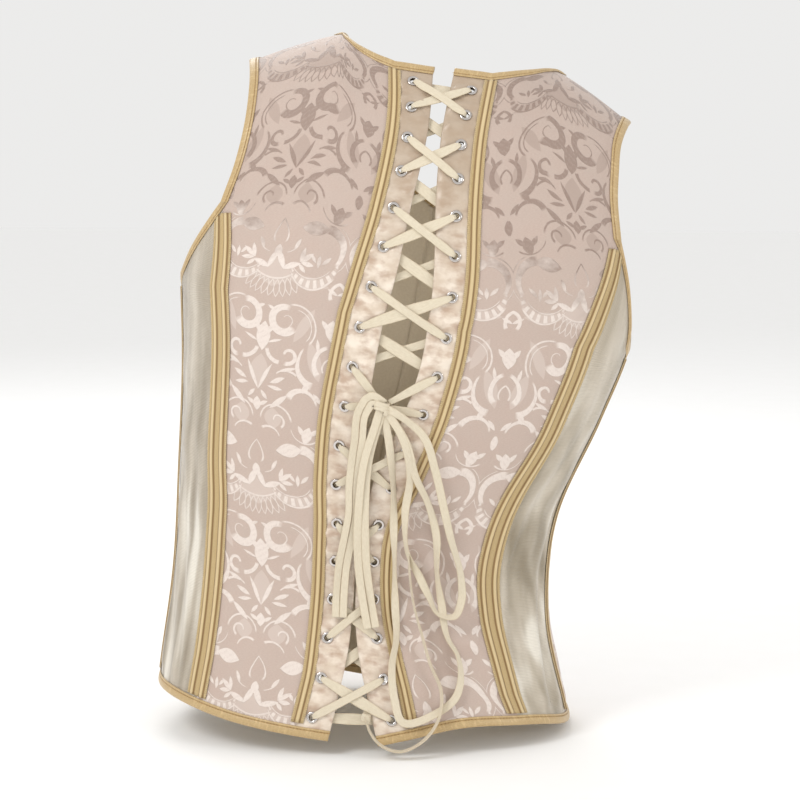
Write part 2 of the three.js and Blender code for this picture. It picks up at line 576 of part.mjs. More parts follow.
const column = (grid, i, rows) => rows.map((j) => grid.at(j)[i]);
const edgeRow = (grid, rows, columns) => columns.map((i) => ({ chain: column(grid, i, rows) }));
const ahead = (chains) => chains.map((link) => ({ ...link, ahead: true }));
const count = (from, to) => Array.from({ length: to - from }, (_, k) => from + k);
const fromTop = [-1, -2, -3];
const fromHem = [0, 1, 2];
const neckPoint = NECK_ACROSS.length - 1;
const neckPointFront = SHOULDER_ACROSS.length - 1;

function sideEdges(side) {
  const grid = pieces[side.name];
  const across = (g, i, step, rows) => rows.map((j) => ({ chain: [0, 1, 2].map((k) => g.at(j)[i + step * k]) }));
  const backLast = grid.back[0].length - 1;
  const rowsUp = count(crossing, neckRow + 1);
  return {
    hem: [
      ...edgeRow(grid.strip, fromHem, count(0, grid.strip[0].length)),
      ...edgeRow(grid.back, fromHem, count(1, grid.back[0].length)),
      ...edgeRow(grid.side, fromHem, count(1, grid.side[0].length)),
      ...ahead(edgeRow(grid.under, fromHem, count(1, grid.under[0].length))),
      ...ahead(edgeRow(grid.front, fromHem, count(1, grid.front[0].length)))],
    neck: [
      ...edgeRow(grid.strip, fromTop, count(0, grid.strip[0].length)),
      ...edgeRow(grid.back, fromTop, count(1, neckPoint)),
      { ...edgeRow(grid.back, fromTop, [neckPoint])[0], shift: SEAM_GAP / 2 },
      { chain: [0, 1, 2].map((k) => grid.back.at(-1)[neckPoint + k]) },
      { ...edgeRow(grid.front, fromTop, [neckPointFront])[0], shift: -SEAM_GAP / 2 },
      ...ahead(edgeRow(grid.front, fromTop, count(neckPointFront + 1, grid.front[0].length)))],
    armhole: [
      ...across(grid.back, backLast, -1, rowsUp),
      ...across(grid.front, 0, 1, count(crossing + 1, neckRow)).reverse(),
      ...edgeRow(grid.under, fromTop, count(0, grid.under[0].length)).reverse(),
      ...edgeRow(grid.side, fromTop, count(1, grid.side[0].length - 1)).reverse()],
  };
}
const edges = SIDES.map(sideEdges);
function roundBoth(name) {
  const [left, right] = edges.map((side) => side[name]);
  const turned = [...left.slice(1).map((link) => link.ahead), ...right.slice(1).reverse().map((link) => !link.ahead)];
  return binding([...left, ...right.slice(0, -1).reverse()], { turned });
}
add('hem_binding', roundBoth('hem'), GOLD_SATIN);
add('neck_binding', roundBoth('neck'), GOLD_SATIN);
SIDES.forEach((side, k) => {
  add(`armhole_binding_${side.name}`, binding(edges[k].armhole, { joined: true }), GOLD_SATIN);
});

// The lace's way round an eyelet: distance from the hole's centre, height and width
const ROUND_THE_RIM = table(['off', 'height', 'width'], [
  [2.7, LACE_OUTSIDE, 4.4], [1.1, 1.7, 3.0], [0.2, 0, LACE_AT_HOLE], [0.2, -1.7, LACE_AT_HOLE],
  [1.3, -2.75, 3.4], [2.7, LACE_INSIDE, 4.4]]);

// A flat lace through stations of point, direction across and width
function ribbon(stations) {
  const side = new THREE.Vector3();
  return sweep(stations.map(({ point, across, width }, k) => {
    const before = stations[Math.max(0, k - 1)].point;
    const after = stations[Math.min(stations.length - 1, k + 1)].point;
    const way = after.clone().sub(before).normalize();
    side.copy(across).addScaledVector(way, -across.dot(way)).normalize();
    const through = way.cross(side).multiplyScalar(LACE_THICK / 2);
    return [[-1, -1], [1, -1], [1, 1], [-1, 1]].map(([x, y]) =>
      point.clone().addScaledVector(side, x * width / 2).addScaledVector(through, y));
  }), [[-1, -1], [1, -1], [1, 1], [-1, 1]]);
}

// A crossed lace: outside from the knot to the first hole, inside to the next, and so on back to the knot
function lacing(holes) {
  const places = [KNOT, ...holes, KNOT];
  const middle = (holes.length - 1) / 2;
  const stations = [];
  let sideways = new THREE.Vector3(1, 0, 0);
  for (let k = 0; k + 1 < places.length; k += 1) {
    const [from, to] = [places[k], places[k + 1]];
    const outside = k % 2 === 0;
    const height = outside ? LACE_OUTSIDE : LACE_INSIDE;
    const chord = form(to.turn, to.level).sub(form(from.turn, from.level));
    const length = chord.length();
    const across = normal(from.turn, from.level).cross(chord).normalize();
    if (across.dot(sideways) < 0) across.negate();
    sideways = across;
    const put = (distance, lift, width) => {
      const share = distance / length;
      const [turn, level] = [lerp(from.turn, to.turn, share), lerp(from.level, to.level, share)];
      stations.push({ point: above(turn, level, lift), across: across.clone(), width });
    };
    const toRim = [...ROUND_THE_RIM].filter((row) => (row.height > -1) === outside);
    const lifted = k > 0 && k < middle && k + 1 < places.length - 1;
    const leave = outside ? [...toRim].reverse() : toRim;
    const arrive = outside ? toRim : [...toRim].reverse();
    if (from === KNOT) put(KNOT_CLEAR, STUB_HEIGHT, LACE_AT_KNOT);
    else for (const row of leave) put(row.off, row.height, row.width);
    if (from !== KNOT) put(STRAND_END, height, LACE_WIDTH);
    if (lifted) {
      const lift = height + (outside ? CROSSING_LIFT : -CROSSING_LIFT);
      put(length * 0.34, lift, LACE_WIDTH);
      put(length * 0.66, lift, LACE_WIDTH);
    }
    if (to !== KNOT) put(length - STRAND_END, height, LACE_WIDTH);
    if (to === KNOT) put(length - KNOT_CLEAR, STUB_HEIGHT, LACE_AT_KNOT);
    else for (const row of arrive) put(length - row.off, row.height, row.width);
  }
  return ribbon(stations);
}

// Holes in the order the lace meets them: out to the end of its half and back by the holes it left
function crossed(near, far) {
  const step = Math.sign(far - near);
  const [left, right] = SIDES;
  const out = Array.from({ length: Math.abs(far - near) + 1 }, (_, k) => near + k * step);
  const there = out.map((pair, k) => eyelet(k % 2 === 0 ? left : right, pair));
  const back = [...out].reverse().map((pair) => eyelet((pair - near) % 2 === 0 ? right : left, pair));
  return [...there, ...back];
}
add('lace_upper', lacing(crossed(UPPER_PAIRS, 1)), RIBBON);
add('lace_lower', lacing(crossed(UPPER_PAIRS + 1, PAIRS)), RIBBON);

// The knot with its hanging tails and loops: flat on the cloth, or standing on edge
function hanging(rows, width, onEdge = false) {
  const spots = rows.map(({ turn, level }) => form(turn, level));
  const along = [0];
  for (let k = 1; k < rows.length; k += 1) along.push(along[k - 1] + spots[k].distanceTo(spots[k - 1]));
  const keyed = rows.map((row, k) => ({ ...row, along: along[k] }));
  const length = along[along.length - 1];
  const steps = Math.ceil(length / HANG_STEP);
  const at = (share) => HANG.map((name) => read(keyed, 'along', name, length * share));
  const points = Array.from({ length: steps + 1 }, (_, k) => at(k / steps));
  return solid(ribbon(points.map(([turn, level, height], k) => {
    const way = form(...points[Math.min(k + 1, steps)]).sub(form(...points[Math.max(k - 1, 0)]));
    const out = normal(turn, level);
    return { point: above(turn, level, height), across: onEdge ? out : out.clone().cross(way).normalize(), width };
  })));
}
function knot({ turn, level, height }, radii) {
  const ball = new THREE.SphereGeometry(1, ...KNOT_SEGMENTS).scale(...radii);
  return solid(ball.translate(...above(turn, level, height).toArray()));
}
const slackEnd = SLACK_END[SLACK_END.length - 1];
const bow = [
  hanging(PAIRED_TAIL, 2 * LACE_WIDTH - 1), hanging(SINGLE_TAIL, LACE_WIDTH), hanging(LONG_LOOP, LACE_WIDTH),
  hanging(WIDE_LOOP, LACE_WIDTH), hanging(SLACK_END, LACE_WIDTH, true),
  knot(slackEnd, [SMALL_KNOT, SMALL_KNOT, SMALL_KNOT]),
].reduce((whole, piece) => whole.add(piece), knot(KNOT, KNOT_RADII));
// Its outer skin alone, without the pockets between the crossing laces
const [skin] = bow.decompose().sort((a, b) => b.volume() - a.volume());
add('lace_bow', geometryOf(skin), RIBBON);

export default model;
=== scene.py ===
"""Boned waistcoat with a laced back: cloth, trims, eyelets, laces and stage."""

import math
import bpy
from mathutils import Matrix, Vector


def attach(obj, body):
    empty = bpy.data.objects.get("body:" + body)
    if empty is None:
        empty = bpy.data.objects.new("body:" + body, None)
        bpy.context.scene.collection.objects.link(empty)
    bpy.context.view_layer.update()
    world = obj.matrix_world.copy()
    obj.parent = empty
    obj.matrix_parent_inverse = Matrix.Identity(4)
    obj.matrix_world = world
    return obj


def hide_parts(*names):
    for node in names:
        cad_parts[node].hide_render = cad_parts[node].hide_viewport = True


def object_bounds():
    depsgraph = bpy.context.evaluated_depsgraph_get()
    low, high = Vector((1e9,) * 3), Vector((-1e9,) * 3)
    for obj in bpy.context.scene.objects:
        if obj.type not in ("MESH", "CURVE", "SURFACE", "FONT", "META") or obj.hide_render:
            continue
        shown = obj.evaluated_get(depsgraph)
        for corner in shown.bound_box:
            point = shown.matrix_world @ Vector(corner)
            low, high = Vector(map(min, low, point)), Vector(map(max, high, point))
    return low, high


bl_info = {
    "name": "Boned Waistcoat",
    "version": (1, 0, 0),
    "blender": (4, 2, 0),
    "location": "View3D > Sidebar > Waistcoat",
    "description": "Builds a brocade waistcoat with boning tapes, bound edges and a laced back",
    "category": "Add Mesh",
}

import bmesh
import bpy
import numpy as np
from mathutils import Vector

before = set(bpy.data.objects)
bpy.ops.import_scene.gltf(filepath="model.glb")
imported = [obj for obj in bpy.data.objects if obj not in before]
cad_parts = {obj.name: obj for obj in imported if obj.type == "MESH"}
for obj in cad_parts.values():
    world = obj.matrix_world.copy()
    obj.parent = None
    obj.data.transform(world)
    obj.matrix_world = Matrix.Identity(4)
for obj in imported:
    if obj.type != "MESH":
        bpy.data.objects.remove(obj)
CAD_BOX = [list(corner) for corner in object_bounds()]
MM = 0.001

# The body form, in millimetres: level 0 is the hem, 1 the underarm, 2 the shoulder ridge
CLOTH = 1.6
UNDERARM_HEIGHT = -188
TRUNK_HEIGHT = 311
RING_POWER = 2.4
YOKE_POWER = 2.6
SHOULDER_LEVEL = 2.0


def table(columns, rows):
    return {name: np.array([row[k] for row in rows], float) for k, name in enumerate(columns)}


SECTIONS = table(
    ("level", "aside", "ahead", "tilt", "half", "back", "front"),
    [
        (-0.15, 63, 1, 5.5, 167, 113, 116),
        (0.00, 63, 0, 6.0, 162, 108, 112),
        (0.30, 65, -4, 7.0, 148, 92, 106),
        (0.55, 59, -3, 7.8, 149, 101, 112),
        (0.80, 41, 0, 8.4, 163, 112, 120),
        (1.00, 30, 0, 9.0, 175, 117, 122),
        (1.50, 30, 0, 9.4, 174, 112, 116),
        (2.00, 30, 0, 9.8, 172, 100, 100),
    ],
)
RIDGE = table(("across", "height"), [(0, 204), (60, 204), (84, 197), (150, 165), (180, 148)])
SEAM_COLUMNS = ("level", "opening", "eyelets", "back", "side", "front")
LEFT_SEAMS = table(
    SEAM_COLUMNS,
    [
        (0.00, 6.6, 11.6, 16.0, 50.0, 86),
        (0.10, 3.3, 9.0, 12.7, 48.5, 83),
        (0.20, 0.8, 7.2, 11.2, 48.0, 82),
        (0.30, -0.3, 5.9, 10.4, 47.8, 82),
        (0.40, -0.6, 5.5, 10.3, 47.5, 82),
        (0.50, -1.0, 5.7, 10.7, 47.3, 83),
        (0.60, -0.8, 7.5, 12.2, 48.8, 84),
        (0.75, 2.6, 9.2, 14.1, 49.8, 84),
        (0.90, 3.4, 8.8, 13.5, 50.1, 84),
        (1.00, 2.9, 8.2, 12.6, 51.0, 84),
        (1.10, 2.4, 7.2, 11.7, 52.4, 84),
        (1.25, 1.7, 5.7, 9.8, 56.2, 84),
        (1.45, 0.2, 4.8, 8.8, 60.0, 84),
        (1.70, 2.0, 6.8, 12.0, 60.0, 84),
    ],
)
RIGHT_SEAMS = table(
    SEAM_COLUMNS,
    [
        (0.00, -6.6, -11.2, -16.5, -52.0, -86),
        (0.10, -3.6, -9.4, -14.7, -49.5, -84),
        (0.20, -1.6, -7.7, -12.4, -47.5, -82),
        (0.30, -0.9, -6.5, -10.5, -45.0, -81),
        (0.40, -1.2, -5.9, -9.9, -43.7, -81),
        (0.50, -1.7, -6.4, -10.6, -44.9, -81),
        (0.60, -2.8, -8.2, -14.0, -47.2, -82),
        (0.75, -5.8, -10.6, -16.3, -51.2, -83),
        (0.90, -7.8, -12.7, -17.0, -52.4, -84),
        (1.00, -7.7, -12.6, -16.8, -52.9, -84),
        (1.10, -6.5, -11.3, -15.7, -54.0, -84),
        (1.25, -4.4, -9.4, -13.8, -57.3, -84),
        (1.45, -3.2, -8.2, -12.8, -60.0, -84),
        (1.70, -3.0, -8.2, -12.5, -60.0, -84),
    ],
)
HEM = table(
    ("turn", "level"),
    [
        (-180, -0.03), (-130, 0.00), (-90, 0.012), (-54, 0.042), (-28, 0.030), (-13, -0.008), (-6, -0.026),
        (6, -0.027), (30, -0.021), (60, -0.004), (90, 0.00), (130, 0.00), (180, -0.03),
    ],
)
EDGE = ("turn", "level")
LEFT_EDGES = {
    "up": table(
        EDGE, [(55.9, 1.238), (52.8, 1.353), (52.0, 1.495), (54.2, 1.674), (58.0, 1.860), (60.7, 2.0)]),
    "under": table(EDGE, [(55.9, 1.238), (62.5, 1.165), (70.0, 1.09), (77.5, 1.02), (84.0, 0.985)]),
    "forward": table(
        EDGE, [(84.0, 0.985), (93, 0.998), (104, 1.045), (115, 1.14), (123.5, 1.28), (127, 1.40)]),
    "rise": table(EDGE, [(127, 1.40), (127.4, 1.55), (125.5, 1.70), (122.5, 1.85), (119.3, 2.0)]),
    "neck_back": table(
        EDGE, [(1.9, 1.715), (11.8, 1.700), (17.2, 1.726), (22.4, 1.783), (27.0, 1.890), (29.2, 2.0)]),
    "neck_front": table(EDGE, [(150.8, 2.0), (153.5, 1.78), (159, 1.52), (168, 1.32), (180, 1.246)]),
}
RIGHT_EDGES = {
    "up": table(
        EDGE, [(-58.6, 1.330), (-55.9, 1.450), (-54.4, 1.562), (-53.6, 1.663), (-55.6, 1.871), (-56.8, 2.0)]),
    "under": table(EDGE, [(-58.6, 1.33), (-63.5, 1.23), (-71.2, 1.093), (-78, 1.02), (-84.0, 0.985)]),
    "forward": table(
        EDGE, [(-84.0, 0.985), (-93, 0.998), (-104, 1.045), (-115, 1.14), (-123.5, 1.28), (-127, 1.40)]),
    "rise": table(EDGE, [(-127, 1.40), (-128, 1.55), (-127, 1.70), (-125, 1.85), (-123.2, 2.0)]),
    "neck_back": table(
        EDGE, [(-3.0, 1.726), (-12.4, 1.722), (-17.0, 1.755), (-21.5, 1.805), (-26.9, 1.917), (-29.3, 2.0)]),
    "neck_front": table(EDGE, [(-150.7, 2.0), (-153.5, 1.78), (-159, 1.52), (-168, 1.32), (-180, 1.246)]),
}
SIDES = {
    "left": dict(name="left", sign=1, seams=LEFT_SEAMS, edges=LEFT_EDGES, low_eyelet=0.020),
    "right": dict(name="right", sign=-1, seams=RIGHT_SEAMS, edges=RIGHT_EDGES, low_eyelet=0.036),
}
PAIRS = 18
TOP_EYELET = 1.637
UPPER_PAIRS = 9
HOLE_RADIUS = 2.9
PUNCH_LENGTH = 9.0
FLAT_ROUND_EYELET = (3.5, 9.5)


def hermite(at, keys, values):
    """Smooth reading of a table's column, with a tangent at each row from its neighbours."""
    x = np.clip(np.asarray(at, float), keys[0], keys[-1])
    k = np.clip(np.searchsorted(keys, x, side="right") - 1, 0, len(keys) - 2)
    slope = np.gradient(values, keys)
    step = keys[k + 1] - keys[k]
    u = (x - keys[k]) / step
    return (
        (2 * u**3 - 3 * u**2 + 1) * values[k] + (u**3 - 2 * u**2 + u) * step * slope[k]
        + (3 * u**2 - 2 * u**3) * values[k + 1] + (u**3 - u**2) * step * slope[k + 1]
    )


def form(turn, level):
    """The cloth's outer face, in mm, at a turn round the body in degrees and a level up it."""
    turn, level = np.broadcast_arrays(np.asarray(turn, float), np.asarray(level, float))
    s = np.minimum(level, SHOULDER_LEVEL)
    at = {k: hermite(s, SECTIONS["level"], SECTIONS[k]) for k in SECTIONS if k != "level"}
    sine = np.sin(np.radians(turn))
    across = at["half"] * sine
    rise = np.sin(np.radians(90 * np.clip(s - 1, 0, 1)))
    reach = np.where(np.cos(np.radians(turn)) >= 0, at["back"], -at["front"])
    depth = (
        np.maximum(0, 1 - np.abs(sine) ** RING_POWER) ** (1 / RING_POWER)
        * np.maximum(0, 1 - rise**YOKE_POWER) ** (1 / YOKE_POWER) * reach
    )
    up = rise * hermite(np.abs(across), RIDGE["across"], RIDGE["height"])
    tilt = np.radians(at["tilt"])
    return np.stack(
        [
            at["aside"] + across * np.cos(tilt) - up * np.sin(tilt),
            at["ahead"] + depth,
            UNDERARM_HEIGHT - TRUNK_HEIGHT * np.maximum(0, 1 - s) + across * np.sin(tilt) + up * np.cos(tilt),
        ],
        -1,
    )


def unit(v):
    return v / np.maximum(np.linalg.norm(v, axis=-1, keepdims=True), 1e-9)


def run(points):
    """Distances along a line of points, or along each row of a grid of them, from 0 at its start."""
    steps = np.linalg.norm(np.diff(points, axis=-2), axis=-1)
    return np.concatenate([np.zeros((*steps.shape[:-1], 1)), np.cumsum(steps, axis=-1)], -1)


TURN_STEP, LEVEL_STEP = 0.6, 0.012


def normal(turn, level):
    level = np.asarray(level, float)
    s = np.minimum(level, SHOULDER_LEVEL - LEVEL_STEP)
    by_turn = form(turn + TURN_STEP, level) - form(turn - TURN_STEP, level)
    by_level = form(turn, s + LEVEL_STEP) - form(turn, s - LEVEL_STEP)
    return unit(np.cross(by_level, by_turn))


def above(turn, level, height):
    turn = np.asarray(turn, float)
    return form(turn, level) + normal(turn, level) * np.asarray(height, float)[..., None]


# Panels as grids of turn and level, row by row from the hem
HEM_TOP = 0.11
TRUNK_TOP = 0.94
UNDERARM_SHARE = 0.38
NECK_SHARE = 0.42
HEM_ROWS = 14
TRUNK_ROWS = 96
UNDERARM_ROWS = 36
YOKE_ROWS = 58
STRIP_COLUMNS, SIDE_COLUMNS, UNDERARM_COLUMNS = 22, 60, 28
NECK_COLUMNS, SHOULDER_COLUMNS = 34, 46


def lerp(a, b, t):
    return a + (b - a) * t


def wrapped(turn):
    return np.where(turn > 180, turn - 360, np.where(turn < -180, turn + 360, turn))


def hem_level(turn):
    return hermite(wrapped(turn), HEM["turn"], HEM["level"])


def seam(side, name):
    return lambda level: hermite(level, side["seams"]["level"], side["seams"][name])


def constant(value):
    return lambda level: np.full(np.shape(level), float(value))


def spread(edge, shares):
    """Turn and level at shares of the way along an edge given by a few rows."""
    along = run(form(edge["turn"], edge["level"]))
    at = along[-1] * np.asarray(shares)
    return np.stack([hermite(at, along, edge["turn"]), hermite(at, along, edge["level"])], -1)


def ends(*points):
    return {"turn": np.array([p[0] for p in points]), "level": np.array([p[1] for p in points])}


def part_of(edge, first, last):
    return {k: v[first:last] for k, v in edge.items()}


def first_of(edge):
    return edge["turn"][0], edge["level"][0]


def last_of(edge):
    return edge["turn"][-1], edge["level"][-1]


def trunk_rows(inner, outer, across):
    rows = []
    for w in np.linspace(0, 1, HEM_ROWS, endpoint=False):
        low = np.array([inner(np.array(0.0)), outer(np.array(0.0))])
        high = np.array([inner(np.array(HEM_TOP)), outer(np.array(HEM_TOP))])
        turn = lerp(*lerp(low, high, w), across)
        rows.append(np.stack([turn, lerp(hem_level(turn), HEM_TOP, w)], -1))
    for level in np.linspace(HEM_TOP, TRUNK_TOP, TRUNK_ROWS):
        turn = lerp(inner(np.array(level)), outer(np.array(level)), across)
        rows.append(np.stack([turn, np.full(len(across), level)], -1))
    return np.array(rows)


def patch(inner, outer, low, high, across, up):
    """A curved patch of turn and level between four edges."""
    def off(edge):
        return edge - lerp(edge[0], edge[-1], across[:, None])

    w = up[:, None, None]
    between = lerp(inner[:, None], outer[:, None], across[None, :, None])
    return between + (1 - w**2) * off(low) + w**2 * off(high)


def rising(turn_at, top, shares):
    """From the trunk's top row up to a point that is given."""
    level = lerp(TRUNK_TOP, top[1], shares)
    rows = np.stack([turn_at(level), level], -1)
    rows[-1] = top
    return rows


UNDER_UP = np.linspace(0, 1, UNDERARM_ROWS)
YOKE_UP = np.concatenate(
    [UNDER_UP * UNDERARM_SHARE, UNDERARM_SHARE + (1 - UNDERARM_SHARE) * np.linspace(0, 1, YOKE_ROWS)[1:]])


def two_parts(first, second, share):
    return np.concatenate([first * share, share + second[1:] * (1 - share)])


def panel(inner, outer, up_inner, up_outer, high, across, up):
    trunk = trunk_rows(inner, outer, across)
    low = trunk[-1]
    return np.concatenate([trunk, patch(up_inner, up_outer, low, high, across, up)[1:]])


def grids(side):
    """One side's five panels, from the back opening round to the centre front."""
    edges, neck = side["edges"], side["edges"]["neck_back"]
    opening, back, side_seam, front = (seam(side, k) for k in ("opening", "back", "side", "front"))
    strip_across, side_across, under_across, neck_shares, shoulder_shares, yoke_shares = (
        np.linspace(0, 1, count) for count in (
            STRIP_COLUMNS, SIDE_COLUMNS, UNDERARM_COLUMNS, NECK_COLUMNS, SHOULDER_COLUMNS, YOKE_ROWS))
    opening_up = rising(opening, first_of(neck), YOKE_UP)
    back_up = rising(back, (neck["turn"][1], neck["level"][1]), YOKE_UP)
    side_up = rising(side_seam, first_of(edges["up"]), UNDER_UP)
    outer_up = np.concatenate([side_up, spread(edges["up"], yoke_shares)[1:]])
    back_across = two_parts(neck_shares, shoulder_shares, NECK_SHARE)
    shoulder = spread(ends(last_of(neck), last_of(edges["up"])), shoulder_shares)
    back_top = np.concatenate([spread(part_of(neck, 1, None), neck_shares), shoulder[1:]])
    front_up = rising(front, first_of(edges["forward"]), UNDER_UP)
    breast = constant(first_of(edges["rise"])[0])
    breast_up = rising(breast, first_of(edges["rise"]), UNDER_UP)
    breast_outer = np.concatenate([breast_up, spread(edges["rise"], yoke_shares)[1:]])
    centre = constant(180 * side["sign"])
    centre_up = rising(centre, last_of(edges["neck_front"]), YOKE_UP)
    shoulder_front = spread(ends(last_of(edges["rise"]), first_of(edges["neck_front"])), shoulder_shares)
    front_top = np.concatenate([shoulder_front, spread(edges["neck_front"], neck_shares)[1:]])
    front_across = two_parts(shoulder_shares, neck_shares, NECK_SHARE)
    strip_top = spread(part_of(neck, 0, 2), strip_across)
    side_top = spread(edges["under"], side_across)
    under_top = spread(edges["forward"], under_across)
    return {
        "strip": panel(opening, back, opening_up, back_up, strip_top, strip_across, YOKE_UP),
        "back": panel(back, side_seam, back_up, outer_up, back_top, back_across, YOKE_UP),
        "side": panel(side_seam, front, side_up, front_up, side_top, side_across, UNDER_UP),
        "under": panel(front, breast, front_up, breast_up, under_top, under_across, UNDER_UP),
        "front": panel(breast, centre, breast_outer, centre_up, front_top, front_across, YOKE_UP),
    }


PIECES = {name: grids(side) for name, side in SIDES.items()}
CROSSING = HEM_ROWS + TRUNK_ROWS - 1 + UNDERARM_ROWS - 1
NECK_ROW = CROSSING + YOKE_ROWS - 1


def smooth(x, low, high):
    t = np.clip((x - low) / (high - low), 0, 1)
    return t * t * (3 - 2 * t)


def measured(points, reference):
    """Distances in mm across the rows and up a reference column, as the cloth's own coordinates."""
    up = run(points[:, reference])
    return run(points), np.repeat(up[:, None], points.shape[1], 1)


GIRTH_LEVEL = 0.9
STRAIGHT_UP_FRONT = 150
BREAST_COLUMN = 30


def woven(turn, level, straight):
    """Coordinates in mm along the weave: the girth at one level, and the height up one straight line."""
    turns = np.linspace(np.abs(turn).min(), 180, 200)
    levels = np.linspace(level.min(), SHOULDER_LEVEL, 200)
    girth = run(form(np.sign(straight) * turns, GIRTH_LEVEL))
    height = run(form(straight, levels))
    return np.stack([np.interp(np.abs(turn), turns, girth) - girth[-1], np.interp(level, levels, height)], -1)


# Meshes, and the looks that the first operator makes for them
LOOKS = {}


def outward(grid):
    """True where a panel's grid has to be turned round for its faces to point out."""
    j, i = grid.shape[0] // 2, grid.shape[1] // 2
    a, b, c = (form(*grid[j + p, i + q]) for p, q in ((0, 0), (0, 1), (1, 0)))
    return float(np.cross(b - a, c - a) @ normal(np.array(grid[j, i, 0]), grid[j, i, 1])) < 0


def mesh_object(name, points, faces, uvs):
    """A mesh object from points in mm; uvs are one pair for each point, in mm."""
    mesh = bpy.data.meshes.new(name)
    mesh.from_pydata((np.asarray(points) * MM).tolist(), [], [list(map(int, f)) for f in faces])
    layer = mesh.uv_layers.new(name="cloth")
    loops = np.zeros(len(mesh.loops), int)
    mesh.loops.foreach_get("vertex_index", loops)
    layer.data.foreach_set("uv", (np.asarray(uvs)[loops] * MM).ravel())
    mesh.polygons.foreach_set("use_smooth", [True] * len(mesh.polygons))
    mesh.update()
    obj = bpy.data.objects.new(name, mesh)
    bpy.context.collection.objects.link(obj)
    return obj


def faces_of(ids, flip):
    """Four-sided faces between the rows and columns of a grid of point numbers."""
    a, b, c, d = ids[:-1, :-1], ids[:-1, 1:], ids[1:, 1:], ids[1:, :-1]
    order = (d, c, b, a) if flip else (a, b, c, d)
    return np.stack([corner.ravel() for corner in order], -1)


def quads(rows, columns, flip, joined=False):
    ids = np.arange(rows * columns).reshape(rows, columns)
    if joined:
        ids = np.concatenate([ids, ids[:1]])
    return faces_of(ids, flip)


def finish_piece(obj, *nodes, slot):
    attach(obj, "root")
    if nodes:
        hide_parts(*nodes)
    return obj


def applied(obj):
    """The object with its modifiers turned into plain mesh."""
    graph = bpy.context.evaluated_depsgraph_get()
    mesh = bpy.data.meshes.new_from_object(obj.evaluated_get(graph), depsgraph=graph)
    obj.modifiers.clear()
    obj.data = mesh
    return obj


def walled(obj, cloth, lining, thickness):
    """Gives a sheet of cloth its thickness, in mm, towards the lining inside."""
    for material in (cloth, lining):
        obj.data.materials.append(material)
    wall = obj.modifiers.new("wall", "SOLIDIFY")
    wall.thickness = thickness * MM
    wall.offset = -1
    wall.material_offset = 1
    return applied(obj)


def cloth_piece(name, grid, height, uvs, look, thickness):
    """Lined cloth from a grid of turn and level and its height above the form."""
    points = above(grid[..., 0], grid[..., 1], height)
    obj = mesh_object(name, points.reshape(-1, 3), quads(*grid.shape[:2], outward(grid)), uvs.reshape(-1, 2))
    return walled(obj, look, LOOKS["lining"], thickness)


def swept(name, rows, profile_uv, material, joined=False):
    """A body swept through rows of points, the same outline in each, with its length and girth as UV."""
    rows = np.asarray(rows)
    count, around = rows.shape[:2]
    length = run(rows.mean(1))
    points = np.concatenate([rows, rows[:, :1]], 1)
    girth = np.append(profile_uv, profile_uv[0])
    uvs = np.stack(np.broadcast_arrays(length[:, None], girth[None, :]), -1)
    faces = quads(count, around + 1, False, joined)
    obj = mesh_object(name, points.reshape(-1, 3), faces, uvs.reshape(-1, 2))
    work = bmesh.new()
    work.from_mesh(obj.data)
    bmesh.ops.remove_doubles(work, verts=work.verts, dist=1e-6)
    if not joined:
        bmesh.ops.holes_fill(work, edges=[e for e in work.edges if e.is_boundary], sides=0)
    bmesh.ops.recalc_face_normals(work, faces=work.faces)
    work.to_mesh(obj.data)
    work.free()
    obj.data.materials.append(material)
    return obj


# Shader maths
class Socket:
    """A shader socket that adds Math nodes when it is used in an expression."""

    def __init__(self, look, link):
        self.look, self.link = look, link

    def _math(self, operation, *values):
        return self.look.node("ShaderNodeMath", {"operation": operation}, dict(enumerate(values)))

    def __neg__(self):
        return self._math("MULTIPLY", self, -1.0)

    def clamp(self):
        return self.look.node("ShaderNodeClamp", {}, {"Value": self})

    def ramp(self, low, high, start=0.0, end=1.0):
        settings = {"interpolation_type": "SMOOTHSTEP"}
        return self.look.node("ShaderNodeMapRange", settings, {
            "Value": self, "From Min": low, "From Max": high, "To Min": start, "To Max": end})


def maths(operation, swapped):
    """A Socket's method for one Math node, whose first value comes last where it is swapped."""
    def method(self, *others):
        return self._math(operation, *others, self) if swapped else self._math(operation, self, *others)

    return method


for label, kind in {
        "__add__": "ADD", "__sub__": "SUBTRACT", "__mul__": "MULTIPLY", "__pow__": "POWER",
        "__abs__": "ABSOLUTE", "__mod__": "FLOORED_MODULO", "sqrt": "SQRT", "sin": "SINE",
        "pingpong": "PINGPONG", "fraction": "FRACT", "most": "MAXIMUM", "angle": "ARCTAN2"}.items():
    setattr(Socket, label, maths(kind, False))
for label, kind in {"__radd__": "ADD", "__rsub__": "SUBTRACT", "__rmul__": "MULTIPLY"}.items():
    setattr(Socket, label, maths(kind, True))


